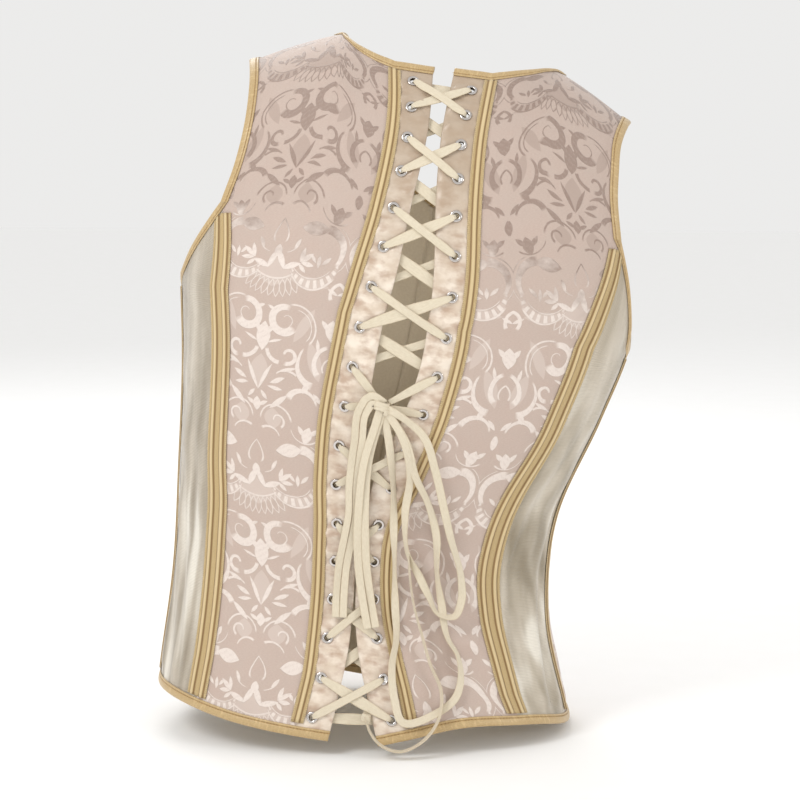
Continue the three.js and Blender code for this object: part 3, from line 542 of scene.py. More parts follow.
class Look:
    """A node material with the tools that the finishes share."""

    def __init__(self, name, **constants):
        self.material = bpy.data.materials.new(name)
        self.material.use_nodes = True
        self.tree = self.material.node_tree
        self.shader = self.tree.nodes["Principled BSDF"]
        for key, value in constants.items():
            self.shader.inputs[key.replace("_", " ").title().replace("Ior", "IOR")].default_value = value

    def node(self, kind, settings, values, output=0):
        made = self.tree.nodes.new(kind)
        for key, value in settings.items():
            setattr(made, key, value)
        for key, value in values.items():
            socket = made.inputs[key]
            if isinstance(value, Socket):
                self.tree.links.new(value.link, socket)
            else:
                socket.default_value = value
        return Socket(self, made.outputs[output])

    def named(self, label):
        """A value that can be set again by its name, also in a copy of the material."""
        made = self.tree.nodes.new("ShaderNodeValue")
        made.name = made.label = label
        return Socket(self, made.outputs[0])

    def split(self, vector):
        made = self.tree.nodes.new("ShaderNodeSeparateXYZ")
        self.tree.links.new(vector.link, made.inputs[0])
        return [Socket(self, out) for out in made.outputs]

    def cloth(self):
        """The piece's own coordinates in mm: across the cloth and along it."""
        u, v, _ = self.split(self.node("ShaderNodeUVMap", {"uv_map": "cloth"}, {}))
        return u * 1000.0, v * 1000.0

    def place(self):
        return self.node("ShaderNodeTexCoord", {}, {}, "Object")

    def vector(self, x, y, z=0.0):
        return self.node("ShaderNodeCombineXYZ", {}, {0: x, 1: y, 2: z})

    def noise(self, vector, scale, detail=3.0, roughness=0.55):
        return self.node("ShaderNodeTexNoise", {}, {
            "Vector": vector, "Scale": scale, "Detail": detail, "Roughness": roughness})

    def weave(self, u, v, across, along):
        """The small checks of a plain weave, by its pitch in mm each way."""
        return (u * (2 * math.pi / across)).sin() * (v * (2 * math.pi / along)).sin()

    def mix(self, factor, first, second):
        made = self.tree.nodes.new("ShaderNodeMix")
        made.data_type = "RGBA"
        for socket, value in ((made.inputs[0], factor), (made.inputs[6], first), (made.inputs[7], second)):
            if isinstance(value, Socket):
                self.tree.links.new(value.link, socket)
            else:
                socket.default_value = value
        return Socket(self, made.outputs[2])

    def finish(self, color, roughness=None, height=None, depth=0.0001):
        """The material with its colour, roughness and bumps, which are depth metres deep."""
        if height is not None:
            bump = self.node("ShaderNodeBump", {}, {"Strength": 1.0, "Distance": depth, "Height": height})
            self.tree.links.new(bump.link, self.shader.inputs["Normal"])
        for name, value in (("Base Color", color), ("Roughness", roughness)):
            if isinstance(value, Socket):
                self.tree.links.new(value.link, self.shader.inputs[name])
            elif value is not None:
                self.shader.inputs[name].default_value = value
        return self.material


def srgb(*channels):
    linear = [c / 255 for c in channels]
    return tuple(c / 12.92 if c <= 0.04045 else ((c + 0.055) / 1.055) ** 2.4 for c in linear) + (1.0,)


# The brocade's ornament: one half of a mirrored repeat, in mm from the palmette's heart
def scroll(x, y, cx, cy, middle, span, r0, r1, w0, w1):
    """A curl: an arc round a centre, on both sides of a middle angle, of changing radius and width."""
    dx, dy = x - cx, y - cy
    c, s = math.cos(math.radians(middle)), math.sin(math.radians(middle))
    ax, ay = dx * c + dy * s, dy * c - dx * s
    turn = ay.angle(ax)
    share = turn * (1 / math.radians(span)) + 0.5
    radius = share * (r1 - r0) + r0
    width = share * (w1 - w0) + w0
    distance = abs((dx * dx + dy * dy).sqrt() - radius)
    return ((width - distance) * 2.0).clamp() * ((0.5 - abs(share - 0.5)) * 14.0).clamp()


def leaf(x, y, cx, cy, angle, length, width):
    """A pointed leaf with its middle at a point."""
    c, s = math.cos(math.radians(angle)), math.sin(math.radians(angle))
    dx, dy = x - cx, y - cy
    along, beside = (dx * c + dy * s) * (2 / length), abs(dy * c - dx * s)
    return (((1.0 - along * along) * (width / 2) - beside) * 2.0).clamp()


def outline(room, width):
    """The line, of a half width, where the room to a shape's edge is none."""
    return ((width - abs(room)) * 2.0).clamp()


REPEAT_ACROSS, REPEAT_UP, REPEAT_LOW = 106.0, 168.0, -135.0

# Each scroll's centre, middle angle, span, first and last radius, first and last half width
SCROLLS = [
    (6, 17, -48, 75, 10, 10, 0.5, 0.9), (30, 2, -92, 138, 19, 18.5, 0.5, 1.2),
    (28, 9, -88, 112, 18, 17.5, 0.6, 0.6), (33, 15, 22, 130, 17, 15, 1.5, 4.2),
    (33, 15, 20, 140, 21.5, 20.5, 0.5, 0.6), (15, -42.5, 201, 262, 10.5, 8.6, 2.4, 3.7),
    (24, -48, 35, 150, 15.5, 19, 1.0, 0.9), (24, -48, 25, 130, 12.2, 15, 0.7, 0.6),
    (47, -74, 195, 118, 19.5, 15.5, 0.8, 3.2), (56, -72, 165, 112, 15.5, 13, 1.6, 2.6),
    (57, -74, 160, 95, 9, 8, 0.9, 0.9), (15, -64, 230, 84, 11.2, 11, 1.7, 1.9),
    (21, -68.5, 35, 290, 6.8, 3.0, 2.0, 1.1), (22, -92, 92, 88, 12, 11, 1.2, 0.7),
    (36, -105, 85, 156, 11, 12.2, 0.9, 2.7), (15, -120, 92, 172, 12.5, 12, 1.0, 0.8),
    (17, -119, 60, 255, 5.4, 3, 1.2, 0.7), (10, -134, 75, 110, 9, 10, 0.7, 1.2),
    (56, -18, 150, 125, 9.5, 8, 1.4, 1.7), (16.5, -42, 40, 210, 5.0, 3.2, 0.7, 0.5),
    (40, -121, 250, 120, 13, 12, 0.5, 0.9),
]

# Each leaf's middle, angle, length and width; the fills are larger and paler
LEAVES = [
    (3.4, 2.0, -64, 17, 5.2), (0.4, 8, 90, 10, 6), (14.6, 14, 60, 10, 3.2), (20, 7, 76, 12, 3.8),
    (23.5, 5.5, 38, 13, 4.2), (24.5, 1, -4, 11, 4.0), (21, -2.5, -42, 9, 3.4), (12.5, -2, 20, 16, 5.0),
    (26, 27.5, 10, 21, 11), (33, 4.5, 90, 10, 3.6), (38.5, 6, 45, 10, 3.4), (28.5, 6, 130, 8, 3.0),
    (4.5, -35, 155, 8, 3), (53, -45, 90, 17, 11), (48, -42, 128, 11, 4.4), (0, -57, 90, 23, 12),
    (4.6, -51.5, 52, 11, 4.6), (9.5, -59.5, 22, 13, 2.6), (5, -87.5, 64.5, 25, 3.6),
    (22.5, -79.5, 22, 15, 3.4), (15.5, -89, 26, 14, 4), (14, -95, -6, 13, 3.4), (5.2, -101.5, -50, 9, 3.4),
    (17, -105, 42, 19, 4.8), (37.5, -91, 70, 10, 5), (0, -109, 90, 11, 7), (5, -108, 30, 9, 3.4),
    (40, -127, 75, 15, 8.5), (35.5, -124, 122, 10, 4.2), (45.5, -124, 40, 10, 4.2), (52.5, -112, 90, 13, 5),
    (49, -16, -25, 10, 3.2), (47.5, -98, -48, 11, 3.8), (43.5, -58, 100, 12, 3.4),
]
FILLS = [
    (0, -84, 90, 27, 15), (0, -8, 90, 22, 26), (31, -44, 62, 32, 9), (42, -70, 110, 32, 11),
    (29, -12, -4, 34, 9), (13, -118, 90, 16, 14),
]


BUD_HEIGHT, FAN_CENTRE = 21.0, 14.0
LASH_STEP, BEAD_STEP = 7.8, 15.0


def most_of(shapes):
    whole = shapes[0]
    for shape in shapes[1:]:
        whole = whole.most(shape)
    return whole


def ornament(x, y):
    """The damask figure and its paler fills: palmette over a lashed fan, scrolls, lily and curled leaves."""
    shapes = [scroll(x, y, *row) for row in SCROLLS] + [leaf(x, y, *row) for row in LEAVES]
    raised = y - BUD_HEIGHT
    bud = (1.0 - (raised * (1 / 10.5)) ** 2) * 7.6 - x * (1.0 + raised.ramp(-10, 11, 0.0, 0.8))
    shapes.append(outline(bud, 1.1) * ((y - FAN_CENTRE) * 0.5).clamp())
    # the fan's lashes, round a centre above the heart
    radius = (x * x + (y - FAN_CENTRE) * (y - FAN_CENTRE)).sqrt()
    turn = x.angle(-(y - FAN_CENTRE)) * (180 / math.pi)
    beside = ((turn * (1 / LASH_STEP) + 0.5).fraction() - 0.5) * radius * math.radians(LASH_STEP)
    reach = (1.0 - ((radius - 34.0) * (1 / 6.5)) ** 2) * 2.3
    within = ((36.0 - turn) * 0.6).clamp()
    shapes.append(outline(reach - abs(beside), 0.62) * within)
    shapes.append(outline(radius - 26.5, 0.9) * within * 0.8)
    # the beads between the crescent's two lines
    low = ((x - 30.0) * (x - 30.0) + (y - 2.0) * (y - 2.0)).sqrt()
    high = ((x - 28.0) * (x - 28.0) + (y - 9.0) * (y - 9.0)).sqrt()
    band = ((18.6 - low) * 0.8).clamp() * ((high - 18.4) * 0.8).clamp()
    spoke = (y - 9.0).angle(x - 28.0) * (180 / math.pi)
    bars = ((abs((spoke * (1 / BEAD_STEP)).fraction() - 0.5) - 0.20) * 12.0).clamp()
    shapes.append(band * bars)
    fills = [leaf(x, y, *row) for row in FILLS] + [band * 0.7]
    fills.append(((radius - 25.0) * 0.5).clamp() * ((31.0 - radius) * 0.4).clamp() * within)
    return most_of(shapes), most_of(fills)


PLACING = ("axis", "drift", "lift")
# The figure's colour in painted shade, high up the back, and the depths in mm where this painted shade ends
# and the painted sheen is full
SHADED_FIGURE = srgb(146, 124, 112)
PAINTED_SHADE_TO, PAINTED_SHEEN_FROM = 118.0, 172.0


def brocade(name, ground, silver):
    """Pinkish brocade, whose placing values say where the palmettes are, across and up a panel in mm."""
    look = Look(name, sheen_weight=0.2, sheen_roughness=0.4, specular_ior_level=0.45)
    u, v = look.cloth()
    axis, drift, lift = (look.named(label) for label in PLACING)
    warp = look.noise(look.place(), 24.0, 2.0)
    x = (u + (warp - 0.5) * 5.0 - v * drift - axis).pingpong(REPEAT_ACROSS / 2)
    y = (v - lift + REPEAT_UP * 4 - REPEAT_LOW + (warp - 0.5) * 3.0) % REPEAT_UP + REPEAT_LOW
    figure, fills = ornament(x, y)
    thread = look.noise(look.vector(u * 0.55, v * 2.6), 1.0, 2.0)
    # a slow noise that mottles the ground's tone and also moves the edge of the painted sheen
    worn = look.noise(look.vector(u * 0.05, v * 0.06, 4.0), 1.0, 4.0, 0.6)
    brush = look.noise(look.vector(u * 0.75 + v * 0.2, v * 0.42, 9.0), 1.0, 4.0, 0.75)
    floats = ((v * 1.35 + u * 0.8 + brush * 5.0).sin() * 0.5 + 0.5) * 0.22
    figure = (figure * (0.30 + brush * 1.15 + floats)).clamp()
    # painted light: the figure is painted taupe, in shade, high on the back and silvery, with a painted
    # sheen, lower down, by the height and the width
    wide_x, _, z = look.split(look.place())
    sheen = (z * -1000.0 + wide_x * 200.0 + (worn - 0.5) * 90.0).ramp(PAINTED_SHADE_TO, PAINTED_SHEEN_FROM)
    colour = look.mix(sheen, SHADED_FIGURE, silver)
    base = look.mix((worn - 0.42) * 1.6, ground, srgb(190, 164, 151))
    base = look.mix((thread - 0.5).ramp(-0.2, 0.25) * 0.65, base, srgb(200, 183, 171))
    base = look.mix(fills * 0.75, base, look.mix(0.38, ground, colour))
    colour = look.mix(figure * (0.66 + brush * 0.34), base, colour)
    rough = 0.5 - figure * 0.2 + (thread - 0.5) * 0.12
    weave = look.weave(u, v, 0.55, 0.55)
    relief = figure * 1.0 + weave * 0.18 + thread * 0.35 + brush * figure * 0.4
    return look.finish(colour, rough, relief, 0.00022)


def placed(material, name, *values):
    """A copy of the brocade with its figure placed for one panel."""
    copy = material.copy()
    copy.name = name
    for label, value in zip(PLACING, values):
        copy.node_tree.nodes[label].outputs[0].default_value = value
    return copy


RIB_PITCH = 1.15


def ribbed_satin(name, color, painted_highlight, painted_shade, across, along):
    """Cream satin woven in fine cross ribs, with painted sheen and the painted light and shade of soft folds;
    across and along set how fine the folds' painted light and shade is.
    """
    look = Look(name, sheen_weight=0.15, specular_ior_level=0.6)
    u, v = look.cloth()
    drift = look.noise(look.vector(u * 0.045, v * 0.012), 1.0, 3.0)
    slub = look.noise(look.vector(u * 0.12, v * 1.6, 2.0), 1.0, 3.0)
    rib = ((v + (slub - 0.5) * 0.8) * (2 * math.pi / RIB_PITCH)).sin()
    # the painted light and shade of the folds is strongest low on the panel
    low = v.ramp(330.0, 130.0, 0.25)
    slant = look.vector(u * across + v * along * 0.4, v * along - u * along * 0.5, 6.0)
    fold_light = look.noise(slant, 1.0, 2.0, 0.45)
    # painted sheen in slow patches, then painted shade in the folds and painted highlights on them
    base = look.mix(drift.ramp(0.3, 0.7), srgb(*color), srgb(*painted_highlight))
    base = look.mix(fold_light.ramp(0.46, 0.70) * low * 0.85, base, srgb(*painted_shade))
    base = look.mix(fold_light.ramp(0.50, 0.30) * low * 0.8, base, srgb(244, 238, 225))
    base = look.mix((rib * 0.5 + 0.5) * 0.25, base, srgb(*[c * 0.84 for c in color]))
    return look.finish(base, 0.34 + (slub - 0.5) * 0.2 - rib * 0.05, rib * 0.5 + slub * 0.5, 0.00016)


def plain_satin(name, color, painted_highlight, painted_shade):
    """Champagne satin, darker up the back, with the light and shade of small creases."""
    look = Look(name, specular_ior_level=0.55, sheen_weight=0.1)
    u, v = look.cloth()
    cloud = look.noise(look.vector(u * 0.06, v * 0.07), 1.0, 4.0, 0.55)
    crease = look.noise(look.vector(u * 0.075, v * 0.12, 3.0), 1.0, 3.0, 0.5)
    thread = look.noise(look.vector(u * 3.0, v * 0.5, 5.0), 1.0, 2.0)
    # painted highlights in soft patches, and painted shade where the creases are
    base = look.mix(cloud.ramp(0.35, 0.65), srgb(*color), srgb(*painted_highlight))
    base = look.mix(crease.ramp(0.42, 0.72) * 0.8, base, srgb(*painted_shade))
    base = look.mix(v.ramp(345.0, 470.0) * 0.85, base, srgb(172, 152, 130))
    return look.finish(base, 0.32 + (cloud - 0.5) * 0.2, crease + thread * 0.12, 0.0008)


def tape_satin(name, half, ridges):
    """Golden tape: beaded edges, raised bones between grooves, by the distance across it, with painted
    highlights on the crests and painted shade in the grooves and between the beads.
    """
    look = Look(name, specular_ior_level=0.5, sheen_weight=0.12)
    u, v = look.cloth()
    slub = look.noise(look.vector(u * 1.2, v * 0.8), 1.0, 3.0)
    edge = (abs(v) - (half - 1.5)).clamp()
    gaps = [abs(abs(v) - ridge) for ridge in ridges]
    crest_highlight = most_of([((1.5 - gap) * 1.2).clamp() for gap in gaps])
    groove_shade = most_of([((0.9 - abs(gap - 2.0)) * 1.6).clamp() for gap in gaps])
    twill = ((u + v * 0.8) * (2 * math.pi / 1.25)).sin()
    bead = (u * (2 * math.pi / 1.5)).sin() * edge
    base = look.mix((slub - 0.3) * 1.2, srgb(180, 154, 106), srgb(202, 179, 132))
    # painted highlight on the bones' crests and painted shade in the grooves
    base = look.mix(crest_highlight * 0.7, base, srgb(218, 196, 152))
    base = look.mix(groove_shade * 0.75, base, srgb(116, 82, 40))
    base = look.mix(edge * 0.7, base, srgb(212, 190, 146))
    # painted shade in the hollows between the edges' beads
    base = look.mix((bead * -0.5).clamp() * 0.7, base, srgb(150, 112, 58))
    relief = twill * 0.35 + bead * 1.6 + slub * 0.4 - groove_shade * 1.5
    return look.finish(base, 0.42 + (slub - 0.5) * 0.2 + groove_shade * 0.2, relief, 0.00018)


SUNK_LINE = 4.6


def binding_satin(name):
    """Golden satin with a sunk line where the binding is stitched, with painted shade in the line and painted
    highlights on its puckers.
    """
    look = Look(name, specular_ior_level=0.5, sheen_weight=0.12)
    u, v = look.cloth()
    slub = look.noise(look.vector(u * 0.7, v * 0.9), 1.0, 4.0)
    pucker = look.noise(look.vector(u * 0.35, v * 0.12, 7.0), 1.0, 3.0)
    line = ((0.55 - abs(v - SUNK_LINE)) * 2.5).clamp()
    base = look.mix((slub - 0.3) * 1.3, srgb(176, 148, 102), srgb(206, 181, 136))
    # painted shade in the sunk stitched line
    base = look.mix(line * 0.75, base, srgb(140, 100, 50))
    # painted highlights on the raised puckers
    base = look.mix(pucker.ramp(0.5, 0.7) * 0.35, base, srgb(226, 200, 150))
    relief = slub * 0.3 + pucker * 1.5 - line * 0.9
    return look.finish(base, 0.4 + (slub - 0.5) * 0.25, relief, 0.00022)


def lace_weave(name):
    """Cream ribbon with darker selvedges."""
    look = Look(name, specular_ior_level=0.35, sheen_weight=0.2)
    u, v = look.cloth()
    weave = look.weave(u, v, 0.8, 0.7)
    slub = look.noise(look.vector(u * 0.3, v * 1.4), 1.0, 3.0)
    edge = (abs(v) - 2.3).clamp()
    base = look.mix((slub - 0.3) * 1.4, srgb(212, 199, 174), srgb(230, 220, 199))
    base = look.mix(edge * 0.55, base, srgb(190, 168, 134))
    return look.finish(base, 0.55 + (slub - 0.5) * 0.2, weave * 0.5 + slub * 0.6, 0.00012)


def polished(name, color, rough):
    look = Look(name, metallic=1.0)
    spot = look.noise(look.place(), 900.0, 3.0)
    base = look.mix((spot - 0.4) * 1.2, srgb(*color), srgb(*[c * 0.86 for c in color]))
    return look.finish(base, rough + (spot - 0.5) * 0.2, spot, 0.00002)


def lining_cotton(name):
    look = Look(name, specular_ior_level=0.2)
    u, v = look.cloth()
    weave = look.weave(u, v, 0.7, 0.7)
    slub = look.noise(look.vector(u * 0.5, v * 0.5), 1.0, 4.0)
    base = look.mix((slub - 0.3) * 1.2, srgb(206, 192, 168), srgb(222, 210, 188))
    return look.finish(base, 0.8 + (slub - 0.5) * 0.1, weave * 0.4 + slub * 0.5, 0.00015)


# Sizes and colours a user would change
class CutSettings(bpy.types.PropertyGroup):
    """Sizes of the cloth and the trims."""

    wall: bpy.props.FloatProperty(
        name="Cloth", description="Thickness of the cloth with its lining",
        default=1.2 * MM, min=0.5 * MM, max=3 * MM, unit="LENGTH")
    stitch: bpy.props.FloatProperty(
        name="Stitch", description="Distance from one stitch to the next",
        default=2.6 * MM, min=1 * MM, max=6 * MM, unit="LENGTH")


class ColourSettings(bpy.types.PropertyGroup):
    """Colours of the finishes."""

    ground: bpy.props.FloatVectorProperty(
        name="Ground", description="The brocade's ground",
        default=srgb(188, 168, 156)[:3], size=3, min=0, max=1, subtype="COLOR")
    silver: bpy.props.FloatVectorProperty(
        name="Figure", description="The brocade's silky figure",
        default=srgb(232, 220, 211)[:3], size=3, min=0, max=1, subtype="COLOR")
    thread: bpy.props.FloatVectorProperty(
        name="Thread", description="Stitching thread",
        default=srgb(206, 176, 120)[:3], size=3, min=0, max=1, subtype="COLOR")


# Surface relief of the worn cloth, in mm, from its own coordinates
def ripple(u, v, angle, pitch, phase=0.0):
    a = math.radians(angle)
    return np.cos((u * math.cos(a) + v * math.sin(a)) * 2 * math.pi / pitch + phase)


def bumpy(u, v, seed, pitch, octaves=3):
    """Smooth, repeatable unevenness made of a few crossing ripples."""
    rng = np.random.default_rng(seed)
    total = np.zeros(np.broadcast(u, v).shape)
    for k in range(octaves * 3):
        scale = pitch / (1 + k // 3)
        wave = ripple(u, v, rng.uniform(0, 180), scale * rng.uniform(0.8, 1.3), rng.uniform(0, 6.3))
        total += wave / (1 + k // 3)
    return total / (octaves * 1.2)


def held_at_edges(across, up, first, last):
    """0 under the tapes, whose half widths are first and last, and the bindings; 1 in a panel's middle."""
    seams = smooth(across, first - 3, first + 9) * smooth(across[:, -1:] - across, last - 3, last + 9)
    return seams * smooth(up, 7, 20) * smooth(up.max() - up, 7, 20)


def strip_relief(side, across, up):
    """Small puckers that run in from the boning tape between the eyelets."""
    drift = bumpy(across, up, 3, 45) * 2.4
    wave = 0.5 + 0.5 * ripple(across, up + drift, 84 * side["sign"], 14.5, 0.8)
    pucker = wave**1.6 * (0.75 + 0.6 * np.clip(bumpy(across, up, 11 + side["sign"], 60), -0.6, 1))
    fine = np.clip(bumpy(across, (up + drift) * 2.2, 5, 17), -0.4, 1) * 0.5
    rim = smooth(across, 0, 4.5) * smooth(across[:, -1:] - across, 1, 8)
    return (pucker * 1.9 + fine) * rim * smooth(up, 7, 16) * smooth(up.max() - up, 7, 16)


def back_relief(side, across, up):
    held = held_at_edges(across, up, 5.0, 9.6)
    field = bumpy(across, up, 21 + side["sign"], 120) * 0.5
    if side["sign"] < 0:
        low = smooth(up, 260, 60)
        drag = ripple(across, up, 62, 44, 0.6) * 1.9 + ripple(across, up, 104, 29, 1.7) * 1.1
        field = field + low * drag * (0.6 + 0.4 * bumpy(across, up, 8, 90))
    else:
        field = field + smooth(up, 150, 20) * ripple(across, up, 8, 58, 0.5) * 0.9
    return (field + 0.5) * held


def side_relief(side, across, up):
    held = held_at_edges(across, up, 9.6, 5.0)
    strength = 1.6 if side["sign"] > 0 else 2.6
    low = smooth(up, 330, 60)
    folds = ripple(across, up, 6 * side["sign"], 34, 0.9) + 0.5 * ripple(across, up, -8, 19, 2.0)
    cross = ripple(across, up, 74, 52, 0.4) * smooth(up, 60, 160) * smooth(up, 300, 200)
    return (folds * low * strength * 0.7 + cross * 0.6 + bumpy(across, up, 31, 80) * 0.4 + 0.6) * held


def front_relief(across, up, seed):
    return (bumpy(across, up, seed, 110) * 0.7 + 0.5) * held_at_edges(across, up, 5.0, 5.0)


# Lanes along seams and edges, within a few points of them
LANE_POINTS = 26
CHAIN_POINTS = 24


def lane(turn, level, distances):
    """Turn and level at distances in mm from the first of each row of points."""
    along = run(form(turn, level))
    return np.array([
        np.stack([np.interp(distances, along[j], turn[j]), np.interp(distances, along[j], level[j])], -1)
        for j in range(len(along))])


def seam_tape(inner, outer, profile):
    """Rows of points for a tape on a seam, whose rows start at it on both sides."""
    offsets, heights = profile[:, 0], profile[:, 1]
    left, right = inner[:, :LANE_POINTS], outer[:, :LANE_POINTS]
    near = lane(left[..., 0], left[..., 1], np.maximum(0, -offsets))
    far = lane(right[..., 0], right[..., 1], np.maximum(0, offsets))
    where = np.where((offsets < 0)[None, :, None], near, far)
    return above(where[..., 0], where[..., 1], heights[None, :])


def rounded(points, steps=3):
    """A closed outline with its corners cut round."""
    points = np.asarray(points, float)
    out = []
    for k in range(len(points)):
        before, here, after = points[k - 1], points[k], points[(k + 1) % len(points)]
        a, b = here + (before - here) * 0.3, here + (after - here) * 0.3
        for t in np.linspace(0, 1, steps):
            out.append((1 - t) ** 2 * a + 2 * t * (1 - t) * here + t * t * b)
    return np.array(out)


BINDING_ROOM = 6.9
STITCH_LINE, STITCH_HEIGHT = 4.55, 1.12
SINGLE_TAPE = rounded(
    [(-5, 0.42), (0, 0.42), (5, 0.42), (5.1, 1.05), (4.0, 1.3), (2.7, 0.85), (1.6, 1.75), (0, 2.1),
     (-1.6, 1.75), (-2.7, 0.85), (-4.0, 1.3), (-5.1, 1.05)])
DOUBLE_TAPE = rounded(
    [(-9.6, 0.42), (-4.8, 0.42), (0, 0.42), (4.8, 0.42), (9.6, 0.42), (9.7, 1.05), (8.6, 1.3), (7.3, 0.8),
     (6.2, 1.75), (4.75, 2.1), (3.3, 1.75), (2.2, 0.8), (0.9, 1.15), (0, 1.2), (-0.9, 1.15), (-2.2, 0.8),
     (-3.3, 1.75), (-4.75, 2.1), (-6.2, 1.75), (-7.3, 0.8), (-8.6, 1.3), (-9.7, 1.05)])
BINDING = rounded(
    [(6.5, 0.25), (6.6, 0.9), (5.2, 1.35), (4.6, 0.95), (4.0, 1.4), (2.0, 1.75), (0, 1.7), (-1.25, 1.1),
     (-1.6, -CLOTH / 2), (-1.25, -CLOTH - 1.1), (0, -CLOTH - 1.6), (3, -CLOTH - 1.5), (5.8, -CLOTH - 1.2),
     (6.5, -CLOTH - 0.25), (3, -CLOTH - 0.25), (-0.3, -CLOTH - 0.25), (-0.3, 0.25), (3, 0.25)], 2)


def bound_edge(chains):
    """Rows of points for a binding: each chain of turn and level leads from the edge into the panel."""
    distances, heights = BINDING[:, 0], BINDING[:, 1]
    inside = lane(chains[..., 0], chains[..., 1], np.maximum(0, distances))
    points = above(inside[..., 0], inside[..., 1], heights[None, :])
    edge = form(chains[:, 0, 0], chains[:, 0, 1])
    inward = lane(chains[..., 0], chains[..., 1], [1.0])
    way = unit(form(inward[:, 0, 0], inward[:, 0, 1]) - edge)
    return points + way[:, None] * np.minimum(0, distances)[None, :, None]


def edge_chains():
    """The chains for hem, neck and both armholes."""
    def up(grid, columns):
        return [grid[:CHAIN_POINTS, i] for i in columns]

    def down(grid, first=0, last=None):
        return [grid[::-1][:CHAIN_POINTS, i] for i in range(grid.shape[1])[first:last]]

    point, point_front = NECK_COLUMNS - 1, SHOULDER_COLUMNS - 1
    chains = {"hem": [], "neck": []}
    for name, grid in PIECES.items():
        hem = up(grid["strip"], range(grid["strip"].shape[1]))
        for key in ("back", "side", "under", "front"):
            hem += up(grid[key], range(1, grid[key].shape[1]))
        neck = down(grid["strip"]) + down(grid["back"], 1, point)
        neck += [grid["back"][-1, point:point + CHAIN_POINTS]] + down(grid["front"], point_front + 1)
        armhole = [grid["back"][j, ::-1][:CHAIN_POINTS] for j in range(CROSSING, NECK_ROW + 1)]
        armhole += [grid["front"][j, :CHAIN_POINTS] for j in range(NECK_ROW - 1, CROSSING, -1)]
        armhole += down(grid["under"])[::-1] + down(grid["side"], 1, -1)[::-1]
        chains["armhole_" + name] = np.array(armhole)
        for key, found in (("hem", hem), ("neck", neck)):
            chains[key] = chains[key] + (found if name == "left" else found[:-1][::-1])
    return {key: np.array(found) for key, found in chains.items()}


# Eyelets and laces
def eyelet(side, pair):
    level = lerp(TOP_EYELET, side["low_eyelet"], (pair - 1) / (PAIRS - 1))
    return float(hermite(level, side["seams"]["level"], side["seams"]["eyelets"])), level


def eyelets(side):
    return [eyelet(side, pair) for pair in range(1, PAIRS + 1)]


def through(points, step):
    """A smooth line through points, with even steps; extra columns are carried along."""
    points = np.asarray(points, float)
    along = run(points[:, :3])
    keep = np.concatenate([[True], np.diff(along) > 1e-6])
    along, points = along[keep], points[keep]
    at = np.linspace(0, along[-1], max(8, int(along[-1] / step)))
    return np.stack([hermite(at, along, points[:, k]) for k in range(points.shape[1])], -1)


# The lace's section, in halves of its width and its thickness
LACE = np.array([
    (-1, -0.3), (-0.93, -0.5), (-0.8, -0.52), (0, -0.55), (0.8, -0.52), (0.93, -0.5), (1, -0.3), (1, 0.3),
    (0.93, 0.5), (0.8, 0.52), (0, 0.55), (-0.8, 0.52), (-0.93, 0.5), (-1, 0.3)])


def flat_lace(name, stations, thick, step=1.2):
    """A flat lace through stations of point, direction across and width, in mm, and its path in metres."""
    line = through(stations, step)
    point, across, width = line[:, :3], line[:, 3:6], line[:, 6]
    way = unit(np.gradient(point, axis=0))
    across = unit(across - way * (across * way).sum(1, keepdims=True))
    out = np.cross(way, across)
    half = width[:, None, None] / 2
    rows = point[:, None] + across[:, None] * LACE[:, :1] * half + out[:, None] * LACE[:, 1:] * thick
    return swept(name, rows, LACE[:, 0] * 3.0, LOOKS["lace"]), point * MM


# Where the knot is, as turn, level and height, and the radii of both knots in mm
KNOT = (-0.5, 0.798, 6.2)
KNOT_RADII = (7.0, 4.0, 5.5)
SMALL_KNOT_RADII = (4.2, 3.4, 3.4)
# Distance from a hole or the knot, height above the cloth and width of the lace, in mm
AT_KNOT = (5.5, 3.2, 4.2)
ROUND_THE_RIM = [(2.7, 2.0, 4.6), (1.1, 1.7, 3.2), (0.2, 0.0, 3.0), (0.2, -1.7, 3.0), (1.3, -2.75, 3.4),
                 (2.7, -3.1, 4.6)]
LACE_OUTSIDE, LACE_INSIDE = 2.0, -3.1
FLAT_AFTER, LIFT = 8.0, 1.4
LACE_WIDTH, TAIL_WIDTH = 6.0, 5.6
LACED_THICKNESS, HANGING_THICKNESS, KNOT_THICKNESS = 0.7, 0.55, 0.9


def lacing(holes):
    """Stations of a crossed lace: outside from the knot to the first hole, inside to the next, and back."""
    places = [None] + holes + [None]
    middle = (len(holes) - 1) / 2
    stations, sideways = [], np.array([1.0, 0, 0])
    for k in range(len(places) - 1):
        start, end = places[k] or KNOT[:2], places[k + 1] or KNOT[:2]
        outside = k % 2 == 0
        height = LACE_OUTSIDE if outside else LACE_INSIDE
        chord = form(*end) - form(*start)
        length = np.linalg.norm(chord)
        across = unit(np.cross(normal(np.array(start[0]), start[1]), chord))
        if across @ sideways < 0:
            across = -across
        sideways = across

        def put(distance, lift, width):
            turn, level = (lerp(start[i], end[i], distance / length) for i in (0, 1))
            stations.append([*above(turn, level, lift), *across, width])

        rim = [r for r in ROUND_THE_RIM if (r[1] > -1) == outside]
        if places[k]:
            for off, lift, width in (rim[::-1] if outside else rim):
                put(off, lift, width)
            put(FLAT_AFTER, height, LACE_WIDTH)
        else:
            put(*AT_KNOT)
        if 0 < k < middle and places[k + 1]:
            for share in (0.34, 0.66):
                put(length * share, height + (LIFT if outside else -LIFT), LACE_WIDTH)
        if places[k + 1]:
            put(length - FLAT_AFTER, height, LACE_WIDTH)
            for off, lift, width in (rim if outside else rim[::-1]):
                put(length - off, lift, width)
        else:
            put(length - AT_KNOT[0], *AT_KNOT[1:])
    return stations


def crossed(near, far):
    step = 1 if far > near else -1
    out = list(range(near, far + step, step))
    there = [eyelet(SIDES["left" if k % 2 == 0 else "right"], pair) for k, pair in enumerate(out)]
    back = [eyelet(SIDES["right" if (pair - near) % 2 == 0 else "left"], pair) for pair in reversed(out)]
    return there + back


